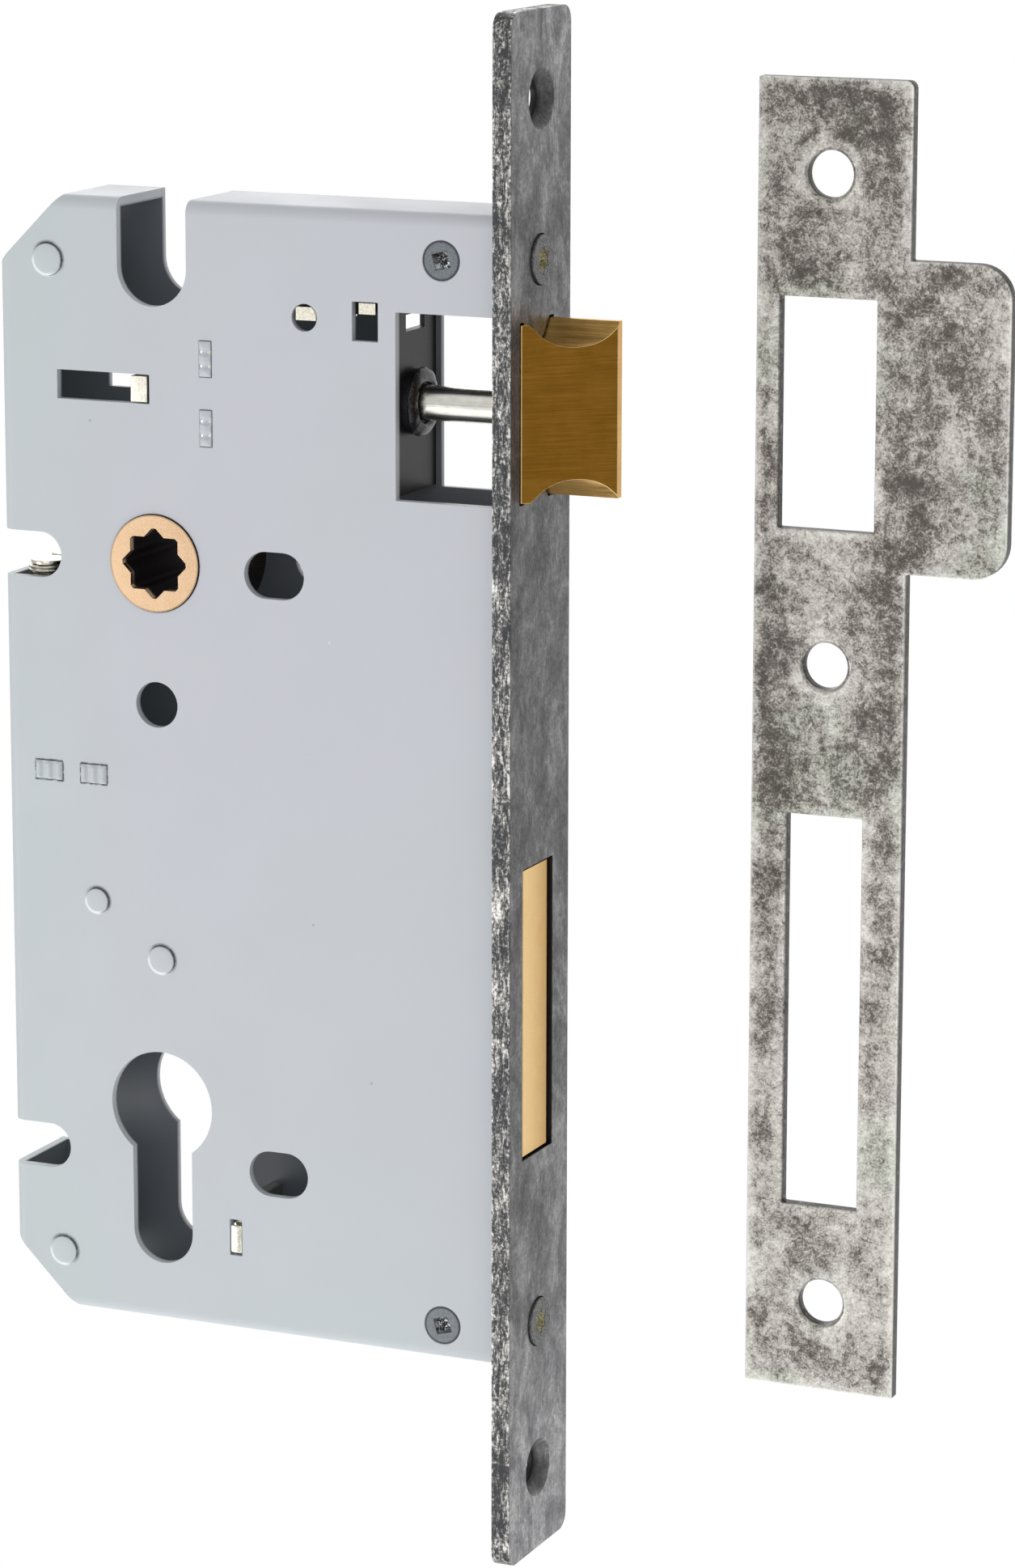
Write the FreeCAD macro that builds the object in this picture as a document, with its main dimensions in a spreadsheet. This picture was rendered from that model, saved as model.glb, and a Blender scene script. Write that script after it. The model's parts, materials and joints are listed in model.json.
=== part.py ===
import FreeCAD, Part
import math, os, re
import Sketcher

# Euro-profile mortise lock with its faceplate, sprung latch, deadbolt and separate strike plate.
# Millimetres.  +X points out of the door edge, +Z is up, -Y is the flanged side of the case.
# The origin is on the back (seat) face of the faceplate, midway between its two fixing holes.

doc = FreeCAD.newDocument("mortise_lock")
sheet = doc.addObject("Spreadsheet::Sheet", "dims")
P = {}
row = [0]


def param(name, value, note=""):
    row[0] += 1
    sheet.set("A%d" % row[0], name)
    sheet.set("B%d" % row[0], str(value))
    sheet.setAlias("B%d" % row[0], name)
    if note:
        sheet.set("C%d" % row[0], note)
    P[name] = float(value)


for n, v, c in (
    # faceplate
    ("plate_thick", 3.0, "faceplate thickness"),
    ("plate_wide", 22.0, "faceplate width"),
    ("plate_tall", 235.0, "faceplate length"),
    ("plate_corner", 2.5, "faceplate corner radius"),
    ("screw_pitch", 209.0, "distance between the two fixing holes"),
    ("screw_hole_rad", 2.6, "fixing hole radius"),
    ("screw_sink_rad", 4.6, "fixing hole countersink radius at the face"),
    # case
    ("case_back", -83.2, "outer face of the back flange"),
    ("case_top", 88.0, "outer face of the top flange"),
    ("case_bottom", -86.5, "outer face of the bottom flange"),
    ("case_near", -8.0, "outer face of the flanged side"),
    ("case_far", 8.0, "outer face of the cover"),
    ("wall_near", 1.5, "thickness of flanged side and flanges"),
    ("wall_far", 1.2, "thickness of the cover"),
    ("corner_cut", 10.8, "chamfer leg on the two rear corners"),
    ("bend_rad", 2.0, "outer bend radius"),
    # centres
    ("hub_x", -57.0, "follower and cylinder axis, 60 from the faceplate front"),
    ("hub_z", 33.0, "follower axis height"),
    ("centres", 85.0, "follower axis to cylinder axis"),
    ("euro_rad", 8.6, "round part of the cylinder cut-out"),
    ("euro_slot_half", 5.05, "half width of the cylinder slot"),
    ("euro_drop", 20.1, "cylinder axis down to the centre of the slot's round end"),
    ("bolt_hole_rad", 3.5, "handle through-bolt hole radius"),
    ("bolt_hole_drop", 21.8, "follower axis down to the through-bolt hole"),
    ("oval_rad", 3.55, "oval hole end radius"),
    ("oval_half_run", 1.4, "half the distance between the oval's end centres"),
    ("oval_x", -37.0, "oval hole centre"),
    ("oval_upper_z", 32.5, "upper oval height"),
    ("oval_lower_z", -60.65, "lower oval height"),
    ("rear_notch_x", -76.6, "centre of the round end of the rear notches"),
    ("rear_notch_rad", 3.5, "rear notch end radius"),
    ("rear_notch_upper_z", 33.0, ""),
    ("rear_notch_lower_z", -60.5, ""),
    ("top_notch_rad", 5.75, "U notch half width"),
    ("top_notch_z", 77.7, "centre of the U notch's round end"),
    ("window_back", -16.8, "rear edge of the latch window"),
    ("window_low", 45.25, ""),
    ("window_high", 73.15, ""),
    ("track_back", -73.25, "crosshead track slot"),
    ("track_front", -57.65, ""),
    ("track_z", 59.4, ""),
    ("track_half", 2.2, ""),
    # latch
    ("latch_z", 59.1, "latch axis height"),
    ("latch_y", -0.9, "latch rod axis offset"),
    ("latch_half_tall", 13.1, ""),
    ("latch_back", -1.5, "rear face of the latch head"),
    ("latch_shoulder", 3.1, "where the bevel starts"),
    ("latch_tip", 14.1, "end of the latch head"),
    ("latch_near", -7.3, ""),
    ("latch_flat", 4.4, "flat side of the latch head"),
    ("latch_nose", 2.7, "near edge of the flat tip"),
    ("rod_rad", 2.64, ""),
    ("rod_bore_rad", 2.74, ""),
    ("groove_rad", 4.6, "radius of the groove along the top and bottom of the latch head"),
    ("groove_y", -1.6, "groove centre"),
    ("groove_drop", 1.1, "groove centre above the top of the latch head"),
    # deadbolt
    ("bolt_mid_z", -31.75, "deadbolt centre height"),
    ("bolt_half_tall", 22.1, ""),
    ("bolt_near", -5.9, ""),
    ("bolt_far", 4.4, ""),
    ("bolt_face", 2.6, "deadbolt face at rest"),
    ("bolt_back", -27.0, "rear face of the deadbolt head"),
    ("tail_near", -2.0, ""),
    ("tail_far", 0.5, ""),
    # case screws
    ("case_screw_z", 81.1, ""),
    ("side_screw_x", -9.45, ""),
    ("fit_gap", 0.05, "gap around riveted and staked parts"),
    # strike
    ("strike_back", 29.05, "edge of the strike towards the lock"),
    ("strike_front", 53.1, ""),
    ("strike_top", 107.2, ""),
    ("strike_bottom", -92.9, ""),
    ("strike_near", 20.0, "front face of the strike"),
    ("strike_thick", 2.2, ""),
    ("lip_front", 68.7, ""),
    ("lip_top", 81.1, ""),
    ("lip_bottom", 34.7, ""),
    ("lip_rad", 5.4, ""),
):
    param(n, v, c)
doc.recompute()

WORD = re.compile(r"[a-z][a-z_]*")


def E(s):
    return WORD.sub(lambda m: "dims." + m.group(0) if m.group(0) in P else m.group(0), str(s))


def num(s):
    """Value of a sum of products, such as case_back + 2*wall_near - 0.5."""
    s = str(s).replace(" ", "").replace("-", "+-")
    total = 0.0
    for term in s.split("+"):
        if not term:
            continue
        sign = 1.0
        while term.startswith("-"):
            sign, term = -sign, term[1:]
        v = 1.0
        for k, f in enumerate(re.split(r"([*/])", term)):
            if k % 2 == 0:
                x = P[f] if f in P else float(f)
                v = v * x if k == 0 or op == "*" else v / x
            else:
                op = f
        total += sign * v
    return total


def bind(o, prop, expr):
    o.setExpression(prop, E(expr))


count = [0]


def tag(kind):
    count[0] += 1
    return "%s_%03d" % (kind, count[0])


def box(xa, xb, ya, yb, za, zb):
    o = doc.addObject("Part::Box", tag("block"))
    bind(o, "Length", "(%s) - (%s)" % (xb, xa))
    bind(o, "Width", "(%s) - (%s)" % (yb, ya))
    bind(o, "Height", "(%s) - (%s)" % (zb, za))
    for ax, e in zip("xyz", (xa, ya, za)):
        bind(o, "Placement.Base." + ax, e)
    return o


ROT = {
    "x": FreeCAD.Rotation(FreeCAD.Vector(0, 1, 0), 90),
    "y": FreeCAD.Rotation(FreeCAD.Vector(1, 0, 0), -90),
    "z": FreeCAD.Rotation(),
}


def place(o, axis, lo, ca, cb, turn=0):
    """Stand o along axis from lo, centred on the other two coordinates in X, Y, Z order."""
    r = ROT[axis]
    if turn:
        r = r * FreeCAD.Rotation(FreeCAD.Vector(0, 0, 1), turn)
    o.Placement = FreeCAD.Placement(FreeCAD.Vector(0, 0, 0), r)
    names = {"x": ("x", "y", "z"), "y": ("y", "x", "z"), "z": ("z", "x", "y")}[axis]
    for ax, e in zip(names, (lo, ca, cb)):
        bind(o, "Placement.Base." + ax, e)
    return o


def cyl(axis, lo, hi, ca, cb, rad):
    o = doc.addObject("Part::Cylinder", tag("round"))
    bind(o, "Radius", rad)
    bind(o, "Height", "(%s) - (%s)" % (hi, lo))
    return place(o, axis, lo, ca, cb)


def cone(axis, lo, hi, ca, cb, rad_lo, rad_hi):
    o = doc.addObject("Part::Cone", tag("taper"))
    bind(o, "Radius1", rad_lo)
    bind(o, "Radius2", rad_hi)
    bind(o, "Height", "(%s) - (%s)" % (hi, lo))
    return place(o, axis, lo, ca, cb)


def ngon(axis, lo, hi, ca, cb, circum, sides, turn=0):
    o = doc.addObject("Part::Prism", tag("prism"))
    o.Polygon = sides
    bind(o, "Circumradius", circum)
    bind(o, "Height", "(%s) - (%s)" % (hi, lo))
    return place(o, axis, lo, ca, cb, turn)


def fuse(*parts):
    parts = list(parts)
    if len(parts) == 1:
        return parts[0]
    o = doc.addObject("Part::MultiFuse", tag("union"))
    o.Shapes = parts
    o.Refine = True
    return o


def cut(base, *tools):
    o = doc.addObject("Part::Cut", tag("cut"))
    o.Base = base
    o.Tool = fuse(*tools)
    o.Refine = True
    return o


def common(a, b):
    o = doc.addObject("Part::MultiCommon", tag("common"))
    o.Shapes = [a, b]
    return o


def slot_y(xa, xb, zc, rad, ya, yb):
    """Stadium running along X between end centres xa and xb."""
    return fuse(
        box(xa, xb, ya, yb, "(%s) - (%s)" % (zc, rad), "(%s) + (%s)" % (zc, rad)),
        cyl("y", ya, yb, xa, zc, rad),
        cyl("y", ya, yb, xb, zc, rad),
    )


def pad(points, ya, yb, plane="XZ"):
    """PartDesign body: a closed polygon on the XZ (or XY) plane, padded from ya to yb.

    Each corner is two expressions, held by named sketch constraints."""
    body = doc.addObject("PartDesign::Body", tag("body"))
    sk = body.newObject("Sketcher::SketchObject", tag("outline"))
    origin = [f for f in body.Origin.OriginFeatures if f.Role == ("XZ_Plane" if plane == "XZ" else "XY_Plane")][0]
    sk.AttachmentSupport = [(origin, "")]
    sk.MapMode = "FlatFace"
    V = FreeCAD.Vector
    vals = [(num(a), num(b)) for a, b in points]
    n = len(points)
    for i in range(n):
        a, b = vals[i], vals[(i + 1) % n]
        sk.addGeometry(Part.LineSegment(V(a[0], a[1], 0), V(b[0], b[1], 0)), False)
    for i in range(n):
        sk.addConstraint(Sketcher.Constraint("Coincident", i, 2, (i + 1) % n, 1))
    for i, (ea, eb) in enumerate(points):
        for kind, e, v in (("DistanceX", ea, vals[i][0]), ("DistanceY", eb, vals[i][1])):
            if abs(v) < 1e-9:
                # on the axis
                k = sk.addConstraint(Sketcher.Constraint("PointOnObject", i, 1, -2 if kind == "DistanceX" else -1))
                continue
            k = sk.addConstraint(Sketcher.Constraint(kind, -1, 1, i, 1, v))
            name = "corner_%s_%s" % ("across" if kind == "DistanceX" else "up", "abcdefghijklmnopqrst"[i])
            sk.renameConstraint(k, name)
            sk.setExpression("Constraints." + name, E(e))
    p = body.newObject("PartDesign::Pad", tag("pad"))
    p.Profile = sk
    bind(p, "Length", "(%s) - (%s)" % (yb, ya))
    if plane == "XZ":
        # the sketch normal is -Y, so the pad starts on the far face and comes towards -Y
        bind(sk, "AttachmentOffset.Base.z", "0 - (%s)" % yb)
    else:
        bind(sk, "AttachmentOffset.Base.z", ya)
    return body


def helix(axis, lo, hi, ca, cb, coil, wire, turns):
    """Round-wire compression spring whose wire stays between lo and hi."""
    h = doc.addObject("Part::Helix", tag("helix"))
    bind(h, "Radius", coil)
    bind(h, "Height", "(%s) - (%s) - 2*(%s)" % (hi, lo, wire))
    bind(h, "Pitch", "((%s) - (%s) - 2*(%s)) / %s" % (hi, lo, wire, turns))
    place(h, axis, "(%s) + (%s)" % (lo, wire), ca, cb)
    c = doc.addObject("Part::Circle", tag("wire"))
    bind(c, "Radius", wire)
    c.Placement = FreeCAD.Placement(FreeCAD.Vector(0, 0, 0), ROT[axis] * FreeCAD.Rotation(FreeCAD.Vector(1, 0, 0), 90))
    if axis == "z":
        bind(c, "Placement.Base.x", "(%s) + (%s)" % (ca, coil))
        bind(c, "Placement.Base.y", cb)
        bind(c, "Placement.Base.z", "(%s) + (%s)" % (lo, wire))
    elif axis == "x":
        # the helix starts on its local +X, which stands along -Z here
        bind(c, "Placement.Base.x", "(%s) + (%s)" % (lo, wire))
        bind(c, "Placement.Base.y", ca)
        bind(c, "Placement.Base.z", "(%s) - (%s)" % (cb, coil))
    else:
        bind(c, "Placement.Base.x", "(%s) + (%s)" % (ca, coil))
        bind(c, "Placement.Base.y", "(%s) + (%s)" % (lo, wire))
        bind(c, "Placement.Base.z", cb)
    s = doc.addObject("Part::Sweep", tag("coil"))
    s.Sections = [c]
    s.Spine = (h, [])
    s.Solid = True
    s.Frenet = True
    return s


nodes = []


def node(obj, label):
    obj.Label = label
    nodes.append(obj)
    return obj


NEAR_IN = "case_near + wall_near"
FAR_IN = "case_far - wall_far"
CYL_Z = "hub_z - centres"

# ---------------------------------------------------------------- openings shared by both side plates
POSTS = (("-74.6", "78.2", "2.45"), ("-74.5", "-77.3", "2.2"), ("-67.7", "-20.4", "1.95"), ("-56.7", "-28.7", "2.2"))
TENONS = (
    # x from, x to, z from, z to
    ("-49.15", "-47.15", "61.8", "67.25"),
    ("-49.15", "-47.15", "51.3", "56.85"),
    ("-78.0", "-73.4", "-2.0", "1.0"),
    ("-70.2", "-65.75", "-2.0", "1.0"),
)


def hand_hole(zc, ya, yb, oval):
    if oval:
        return slot_y("oval_x - oval_half_run", "oval_x + oval_half_run", zc, "oval_rad", ya, yb)
    return cyl("y", ya, yb, "oval_x", zc, "oval_rad")


def side_openings(ya, yb, oval=True):
    """The holes of a side plate.

    The cover has round holes where the flanged side has ovals, and a slightly shorter window and track."""
    win, track = ("window_back", "track_back") if oval else ("window_back + 0.6", "track_back + 0.95")
    t = [
        # latch window, open towards the faceplate
        box(win, "1", ya, yb, "window_low", "window_high"),
        # follower bearing
        cyl("y", ya, yb, "hub_x", "hub_z", "7.53"),
        # through-bolt hole below the follower
        cyl("y", ya, yb, "hub_x", "hub_z - bolt_hole_drop", "bolt_hole_rad"),
        # cylinder cut-out
        cyl("y", ya, yb, "hub_x", CYL_Z, "euro_rad"),
        box("hub_x - euro_slot_half", "hub_x + euro_slot_half", ya, yb, CYL_Z + " - euro_drop", CYL_Z),
        cyl("y", ya, yb, "hub_x", CYL_Z + " - euro_drop", "euro_slot_half"),
        # ovals in front of follower and cylinder
        hand_hole("oval_upper_z", ya, yb, oval),
        hand_hole("oval_lower_z", ya, yb, oval),
        # rear notches, open at the back edge
        slot_y("case_back - 6", "rear_notch_x", "rear_notch_upper_z", "rear_notch_rad", ya, yb),
        slot_y("case_back - 6", "rear_notch_x", "rear_notch_lower_z", "rear_notch_rad", ya, yb),
        # U notch in the top edge
        box("hub_x - top_notch_rad", "hub_x + top_notch_rad", ya, yb, "top_notch_z", "case_top + 1"),
        cyl("y", ya, yb, "hub_x", "top_notch_z", "top_notch_rad"),
        # crosshead track
        box(track, "track_front", ya, yb, "track_z - track_half", "track_z + track_half"),
        # upper guide plate: round and oblong holes
        cyl("y", ya, yb, "-31.7", "71.6", "2.05"),
        box("-23.85", "-19.7", ya, yb, "68.6", "74.4"),
        # lower bridge
        box("-45.45", "-43.4", ya, yb, "-74.45", "-68.7"),
    ]
    for x, z, r in POSTS:
        t.append(cyl("y", ya, yb, x, z, r + " + fit_gap"))
    for xa, xb, za, zb in TENONS:
        t.append(box(xa + " - fit_gap", xb + " + fit_gap", ya, yb, za + " - fit_gap", zb + " + fit_gap"))
    return t


def groove(s, inset, xa, xb):
    """A round-bottomed groove along X in the top (s = 1) or bottom (s = -1) of the latch head, its flanks 53 degrees steep.

    With an inset it is the matching tongue of the faceplate opening."""
    r = num("groove_rad") - inset
    yc = num("groove_y")
    zc = num("latch_z") + s * (num("latch_half_tall") + num("groove_drop") + (0.0 if s > 0 else 0.3))
    top = num("latch_z") + s * (num("latch_half_tall") + 1.2)
    a = math.radians(53)
    dy, dz = r * math.sin(a), r * math.cos(a)
    reach = abs(top - (zc - s * dz)) / math.tan(a)
    pts = [(yc - dy - reach, top), (yc - dy, zc - s * dz), (yc + dy, zc - s * dz), (yc + dy + reach, top)]
    v = [FreeCAD.Vector(xa, y, z) for y, z in pts]
    wedge = Part.Face(Part.makePolygon(v + v[:1])).extrude(FreeCAD.Vector(xb - xa, 0, 0))
    rod = Part.makeCylinder(r, xb - xa, FreeCAD.Vector(xa, yc, zc), FreeCAD.Vector(1, 0, 0))
    o = doc.addObject("Part::Feature", tag("groove"))
    o.Shape = rod.fuse(wedge).removeSplitter()
    return o


OUTLINE = [
    ("0", "case_bottom"),
    ("0", "case_top"),
    ("case_back + corner_cut", "case_top"),
    ("case_back", "case_top - corner_cut"),
    ("case_back", "case_bottom + corner_cut"),
    ("case_back + corner_cut", "case_bottom"),
]

# ---------------------------------------------------------------- case body: flanged side plate
block = box("case_back", "0", "case_near", FAR_IN, "case_bottom", "case_top")
rounds = [
    cut(box("case_back - 1", "1", "case_near - 1", "case_near + bend_rad", "case_top - bend_rad", "case_top + 1"),
        cyl("x", "case_back - 2", "2", "case_near + bend_rad", "case_top - bend_rad", "bend_rad")),
    cut(box("case_back - 1", "1", "case_near - 1", "case_near + bend_rad", "case_bottom - 1", "case_bottom + bend_rad"),
        cyl("x", "case_back - 2", "2", "case_near + bend_rad", "case_bottom + bend_rad", "bend_rad")),
    cut(box("case_back - 1", "case_back + bend_rad", "case_near - 1", "case_near + bend_rad", "case_bottom - 1", "case_top + 1"),
        cyl("z", "case_bottom - 2", "case_top + 2", "case_back + bend_rad", "case_near + bend_rad", "bend_rad")),
]
shell = common(cut(block, *rounds), pad(OUTLINE, "case_near - 1", FAR_IN))
hollow = box("case_back + wall_near", "5", NEAR_IN, "case_far + 5", "case_bottom + wall_near", "case_top - wall_near")
screw_seats = []
for s in ("", "0 - "):
    screw_seats.append(cone("y", "case_near", NEAR_IN, "side_screw_x", s + "case_screw_z", "3.05", "1.95"))
node(cut(shell, hollow, *(side_openings("case_near - 1", "case_far + 2") + screw_seats)), "case_body")

# ---------------------------------------------------------------- case cover: flat far plate
cover_holes = [cyl("y", "0", "case_far + 1", "side_screw_x", s + "case_screw_z", "2.05") for s in ("", "0 - ")]
node(cut(pad(OUTLINE, FAR_IN, "case_far"), *(side_openings("0", "case_far + 2", oval=False) + cover_holes)), "case_cover")

# ---------------------------------------------------------------- faceplate
plate = fuse(
    box("0", "plate_thick", "0 - plate_wide/2", "plate_wide/2", "0 - plate_tall/2 + plate_corner", "plate_tall/2 - plate_corner"),
    box("0", "plate_thick", "0 - plate_wide/2 + plate_corner", "plate_wide/2 - plate_corner", "0 - plate_tall/2", "plate_tall/2"),
    *[cyl("x", "0", "plate_thick", "%s(plate_wide/2 - plate_corner)" % a, "%s(plate_tall/2 - plate_corner)" % b, "plate_corner")
      for a in ("", "0 - ") for b in ("", "0 - ")])
plate_cuts = []
for s in ("", "0 - "):
    plate_cuts += [
        cyl("x", "-1", "plate_thick + 1", "0", s + "screw_pitch/2", "screw_hole_rad"),
        cone("x", "plate_thick - screw_sink_rad + screw_hole_rad", "plate_thick", "0", s + "screw_pitch/2", "screw_hole_rad", "screw_sink_rad"),
        cyl("x", "-1", "plate_thick + 1", "0", s + "case_screw_z", "2.1"),
        cone("x", "1.0", "plate_thick - 0.4", "0", s + "case_screw_z", "2.1", "3.8"),
        cyl("x", "plate_thick - 0.4", "plate_thick + 1", "0", s + "case_screw_z", "3.8"),
    ]
# latch opening and deadbolt opening
plate_cuts.append(cut(
    box("-1", "plate_thick + 1", "latch_near - 0.3", "latch_flat + 0.3", "latch_z - latch_half_tall - 0.3", "latch_z + latch_half_tall + 0.3"),
    groove(1, 0.3, -2, 5), groove(-1, 0.3, -2, 5)))
plate_cuts.append(box("-1", "plate_thick + 1", "bolt_near - 0.3", "bolt_far + 0.5", "bolt_mid_z - bolt_half_tall - 0.35", "bolt_mid_z + bolt_half_tall + 0.35"))
node(cut(plate, *plate_cuts), "faceplate")

# ---------------------------------------------------------------- lugs behind the faceplate and their screws
for word, s in (("upper", ""), ("lower", "0 - ")):
    zc = s + "case_screw_z"
    lug = fuse(
        box("-14", "0", NEAR_IN, FAR_IN, "(%s) - 3.8" % zc, "(%s) + 3.8" % zc),
        cyl("y", FAR_IN, "case_far", "side_screw_x", zc, "2.0"))
    node(cut(lug,
             cyl("x", "-7.2", "1", "0", zc, "2.05"),
             cyl("y", "case_near", "0.5", "side_screw_x", zc, "1.8")), "fixing_lug_" + word)
    fs = fuse(
        cone("x", "1.0", "plate_thick - 0.4", "0", zc, "2.0", "3.7"),
        cyl("x", "plate_thick - 0.4", "plate_thick + 0.4", "0", zc, "3.7"),
        cyl("x", "-6.6", "1.0", "0", zc, "2.0"))
    node(cut(fs,
             ngon("x", "2.2", "plate_thick + 1", "0", zc, "2.2", 3, 0),
             ngon("x", "2.2", "plate_thick + 1", "0", zc, "2.2", 3, 60)), "faceplate_screw_" + word)
    ss = fuse(
        cone("y", "case_near", NEAR_IN, "side_screw_x", zc, "2.95", "1.85"),
        cyl("y", NEAR_IN, "0.2", "side_screw_x", zc, "1.75"))
    node(cut(ss, ngon("y", "case_near - 1", "case_near + 1.1", "side_screw_x", zc, "1.75", 4, 30)), "side_screw_" + word)

# ---------------------------------------------------------------- posts riveted between the plates
for (x, z, r), label in zip(POSTS, ("rear_post_upper", "rear_post_lower", "tumbler_post", "throw_lever_post")):
    shoulder = {"rear_post_upper": "3.6", "rear_post_lower": "3.4"}.get(label)
    p = cyl("y", "case_near", "case_far", x, z, r)
    if shoulder:
        p = fuse(p, cyl("y", NEAR_IN, FAR_IN, x, z, shoulder))
    node(p, label)

# ---------------------------------------------------------------- follower hub
# Both arms taper from 8 mm wide, 9 mm out, to a nose 20 mm from the axis.  The upper arm leans 17.46 degrees forward at rest and
# the rear arm is raised by the same angle, so each nose crosses the middle of its swing half way.
upper_nose = ("hub_x + 6.0", "hub_z + 19.08")
rear_nose = ("hub_x - 19.08", "hub_z + 6.0")
hub = fuse(
    cyl("y", "case_near - 0.3", "case_far + 1.9", "hub_x", "hub_z", "7.45"),
    cyl("y", NEAR_IN + " + 0.1", FAR_IN + " - 0.1", "hub_x", "hub_z", "11.5"),
    # upper arm
    pad([("hub_x - 1.1", "hub_z + 9.79"), ("hub_x + 6.5", "hub_z + 7.39"), ("hub_x + 7.05", "hub_z + 18.75"), ("hub_x + 4.95", "hub_z + 19.41")],
        "-4.6", "4.6"),
    cyl("y", "-4.6", "4.6", upper_nose[0], upper_nose[1], "1.6"),
    # rear arm
    pad([("hub_x - 9.79", "hub_z - 1.1"), ("hub_x - 7.39", "hub_z + 6.5"), ("hub_x - 18.75", "hub_z + 7.05"), ("hub_x - 19.41", "hub_z + 4.95")],
        "-0.5", "3.5"),
    cyl("y", "-0.5", "3.5", rear_nose[0], rear_nose[1], "1.6"),
)
node(cut(hub,
         common(fuse(ngon("y", "case_near - 2", "case_far + 3", "hub_x", "hub_z", "5.66", 4, 0),
                     ngon("y", "case_near - 2", "case_far + 3", "hub_x", "hub_z", "5.66", 4, 45)),
                cyl("y", "case_near - 2", "case_far + 3", "hub_x", "hub_z", "5.35"))), "follower_hub")

# ---------------------------------------------------------------- latch head
head = pad([("latch_back", "latch_near"), ("latch_shoulder", "latch_near"), ("latch_tip", "latch_nose"),
            ("latch_tip", "latch_flat"), ("latch_back", "latch_flat")],
           "latch_z - latch_half_tall", "latch_z + latch_half_tall", plane="XY")

bore = cyl("x", "latch_back - 1", "4.6", "latch_y", "latch_z", "rod_rad + 0.02")
node(cut(head, bore, groove(1, 0, -3, 16), groove(-1, 0, -3, 16)), "latch_head")

# ---------------------------------------------------------------- latch rod with its spring shoulder
node(fuse(
    cyl("x", "-60.0", "4.4", "latch_y", "latch_z", "rod_rad"),
    cyl("x", "-61.2", "-60.0", "latch_y", "latch_z", "3.6"),
), "latch_rod")
node(cut(cyl("x", "-23.0", "-21.2", "latch_y", "latch_z", "4.9"),
         cyl("x", "-24.0", "-20.0", "latch_y", "latch_z", "rod_rad + 0.01")), "latch_spring_collar")

# ---------------------------------------------------------------- latch crosshead
cross = fuse(
    box("-60.0", "-58.0", "-6.3", "6.6", "46.3", "63.4"),
    box("-60.75", "-58.0", "case_near", "-5.8", "track_z - 1.95", "track_z + 1.95"),
    box("-59.9", "-58.0", "6.0", "case_far", "track_z - 1.95", "track_z + 1.95"),
    box("-58.0", "-52.75", "-5.6", "5.6", "51.5", "54.8"))
node(cut(cross, cyl("x", "-61", "-57", "latch_y", "latch_z", "rod_rad + 0.01")), "latch_crosshead")

# ---------------------------------------------------------------- latch guides
guide = fuse(
    box("-18.5", "-17.0", "-6.4", "6.7", "45.6", "74.0"),
    pad([("-34.0", "71.0"), ("-17.0", "73.2"), ("-17.0", "75.0"), ("-34.0", "72.8")], "-6.4", "6.7"),
    cyl("x", "-17.0", "-15.6", "latch_y", "latch_z", "4.9"),
    box("-22.8", "-20.1", "case_near + 0.1", "case_far - 0.1", "72.6", "74.25"),
    common(box("-33.1", "-29.8", "case_near + 0.1", "case_far - 0.1", "71.2", "73.2"),
           cyl("y", "case_near", "case_far", "-31.7", "71.6", "1.95")))
node(cut(guide,
         cyl("x", "-20", "-14", "latch_y", "latch_z", "rod_bore_rad"),
         pad([("-20", "-3.9"), ("-16", "-3.9"), ("-16", "2.6"), ("-17.15", "2.6"), ("-18.5", "6.0"), ("-20", "6.0")],
             "69.8", "72.3", plane="XY")), "latch_guide_plate")
rear = fuse(
    box("-49.15", "-47.15", "-6.4", "6.7", "50.9", "67.7"),
    box("-49.15", "-47.15", "case_near", "case_far", "61.8", "67.25"),
    box("-49.15", "-47.15", "case_near", "case_far", "51.3", "56.85"))
node(cut(rear, cyl("x", "-50", "-46", "latch_y", "latch_z", "rod_bore_rad")), "latch_rear_bracket")
node(helix("x", "-47.15", "-23.0", "latch_y", "latch_z", "3.9", "0.45", "11"), "latch_spring")

# ---------------------------------------------------------------- return springs, their seat and saddle
node(fuse(
    box("-81.4", "-65.0", "-6.4", "6.7", "-2.0", "1.0"),
    box("-78.0", "-73.4", "case_near", "case_far", "-2.0", "1.0"),
    box("-70.2", "-65.75", "case_near", "case_far", "-2.0", "1.0")), "spring_seat")
SPRING_X = "-77.7"
for label, y in (("near", "-3.35"), ("far", "3.35")):
    node(helix("z", "1.0", "31.0", SPRING_X, y, "2.8", "0.27", "25"), "return_spring_" + label)
node(fuse(
    cyl("z", "31.0", "31.6", SPRING_X, "-3.35", "2.75"),
    cyl("z", "31.0", "31.6", SPRING_X, "3.35", "2.75"),
    box("-76.9", "-75.4", "-0.6", "3.6", "31.0", "37.15"),
    box("-76.9", "-72.6", "-2.2", "3.6", "31.0", "31.6"),
    cyl("z", "18.0", "31.0", SPRING_X, "-3.35", "1.7"),
    cyl("z", "18.0", "31.0", SPRING_X, "3.35", "1.7")), "spring_saddle")

# ---------------------------------------------------------------- deadbolt
dz, dh = "bolt_mid_z", "bolt_half_tall"
bolt = box("bolt_back", "bolt_face", "bolt_near", "bolt_far", "bolt_mid_z - bolt_half_tall", "bolt_mid_z + bolt_half_tall")
edges = []
for y0, sgn in (("bolt_near", 1), ("bolt_far", -1)):
    ya, yb = (y0 + " - 1", y0 + " + 0.9") if sgn > 0 else (y0 + " - 0.9", y0 + " + 1")
    yc = y0 + (" + 0.9" if sgn > 0 else " - 0.9")
    edges.append(cut(box("bolt_face - 0.9", "bolt_face + 1", ya, yb, "bolt_mid_z - bolt_half_tall - 1", "bolt_mid_z + bolt_half_tall + 1"),
                     cyl("z", "bolt_mid_z - bolt_half_tall - 2", "bolt_mid_z + bolt_half_tall + 2", "bolt_face - 0.9", yc, "0.9")))
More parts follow.
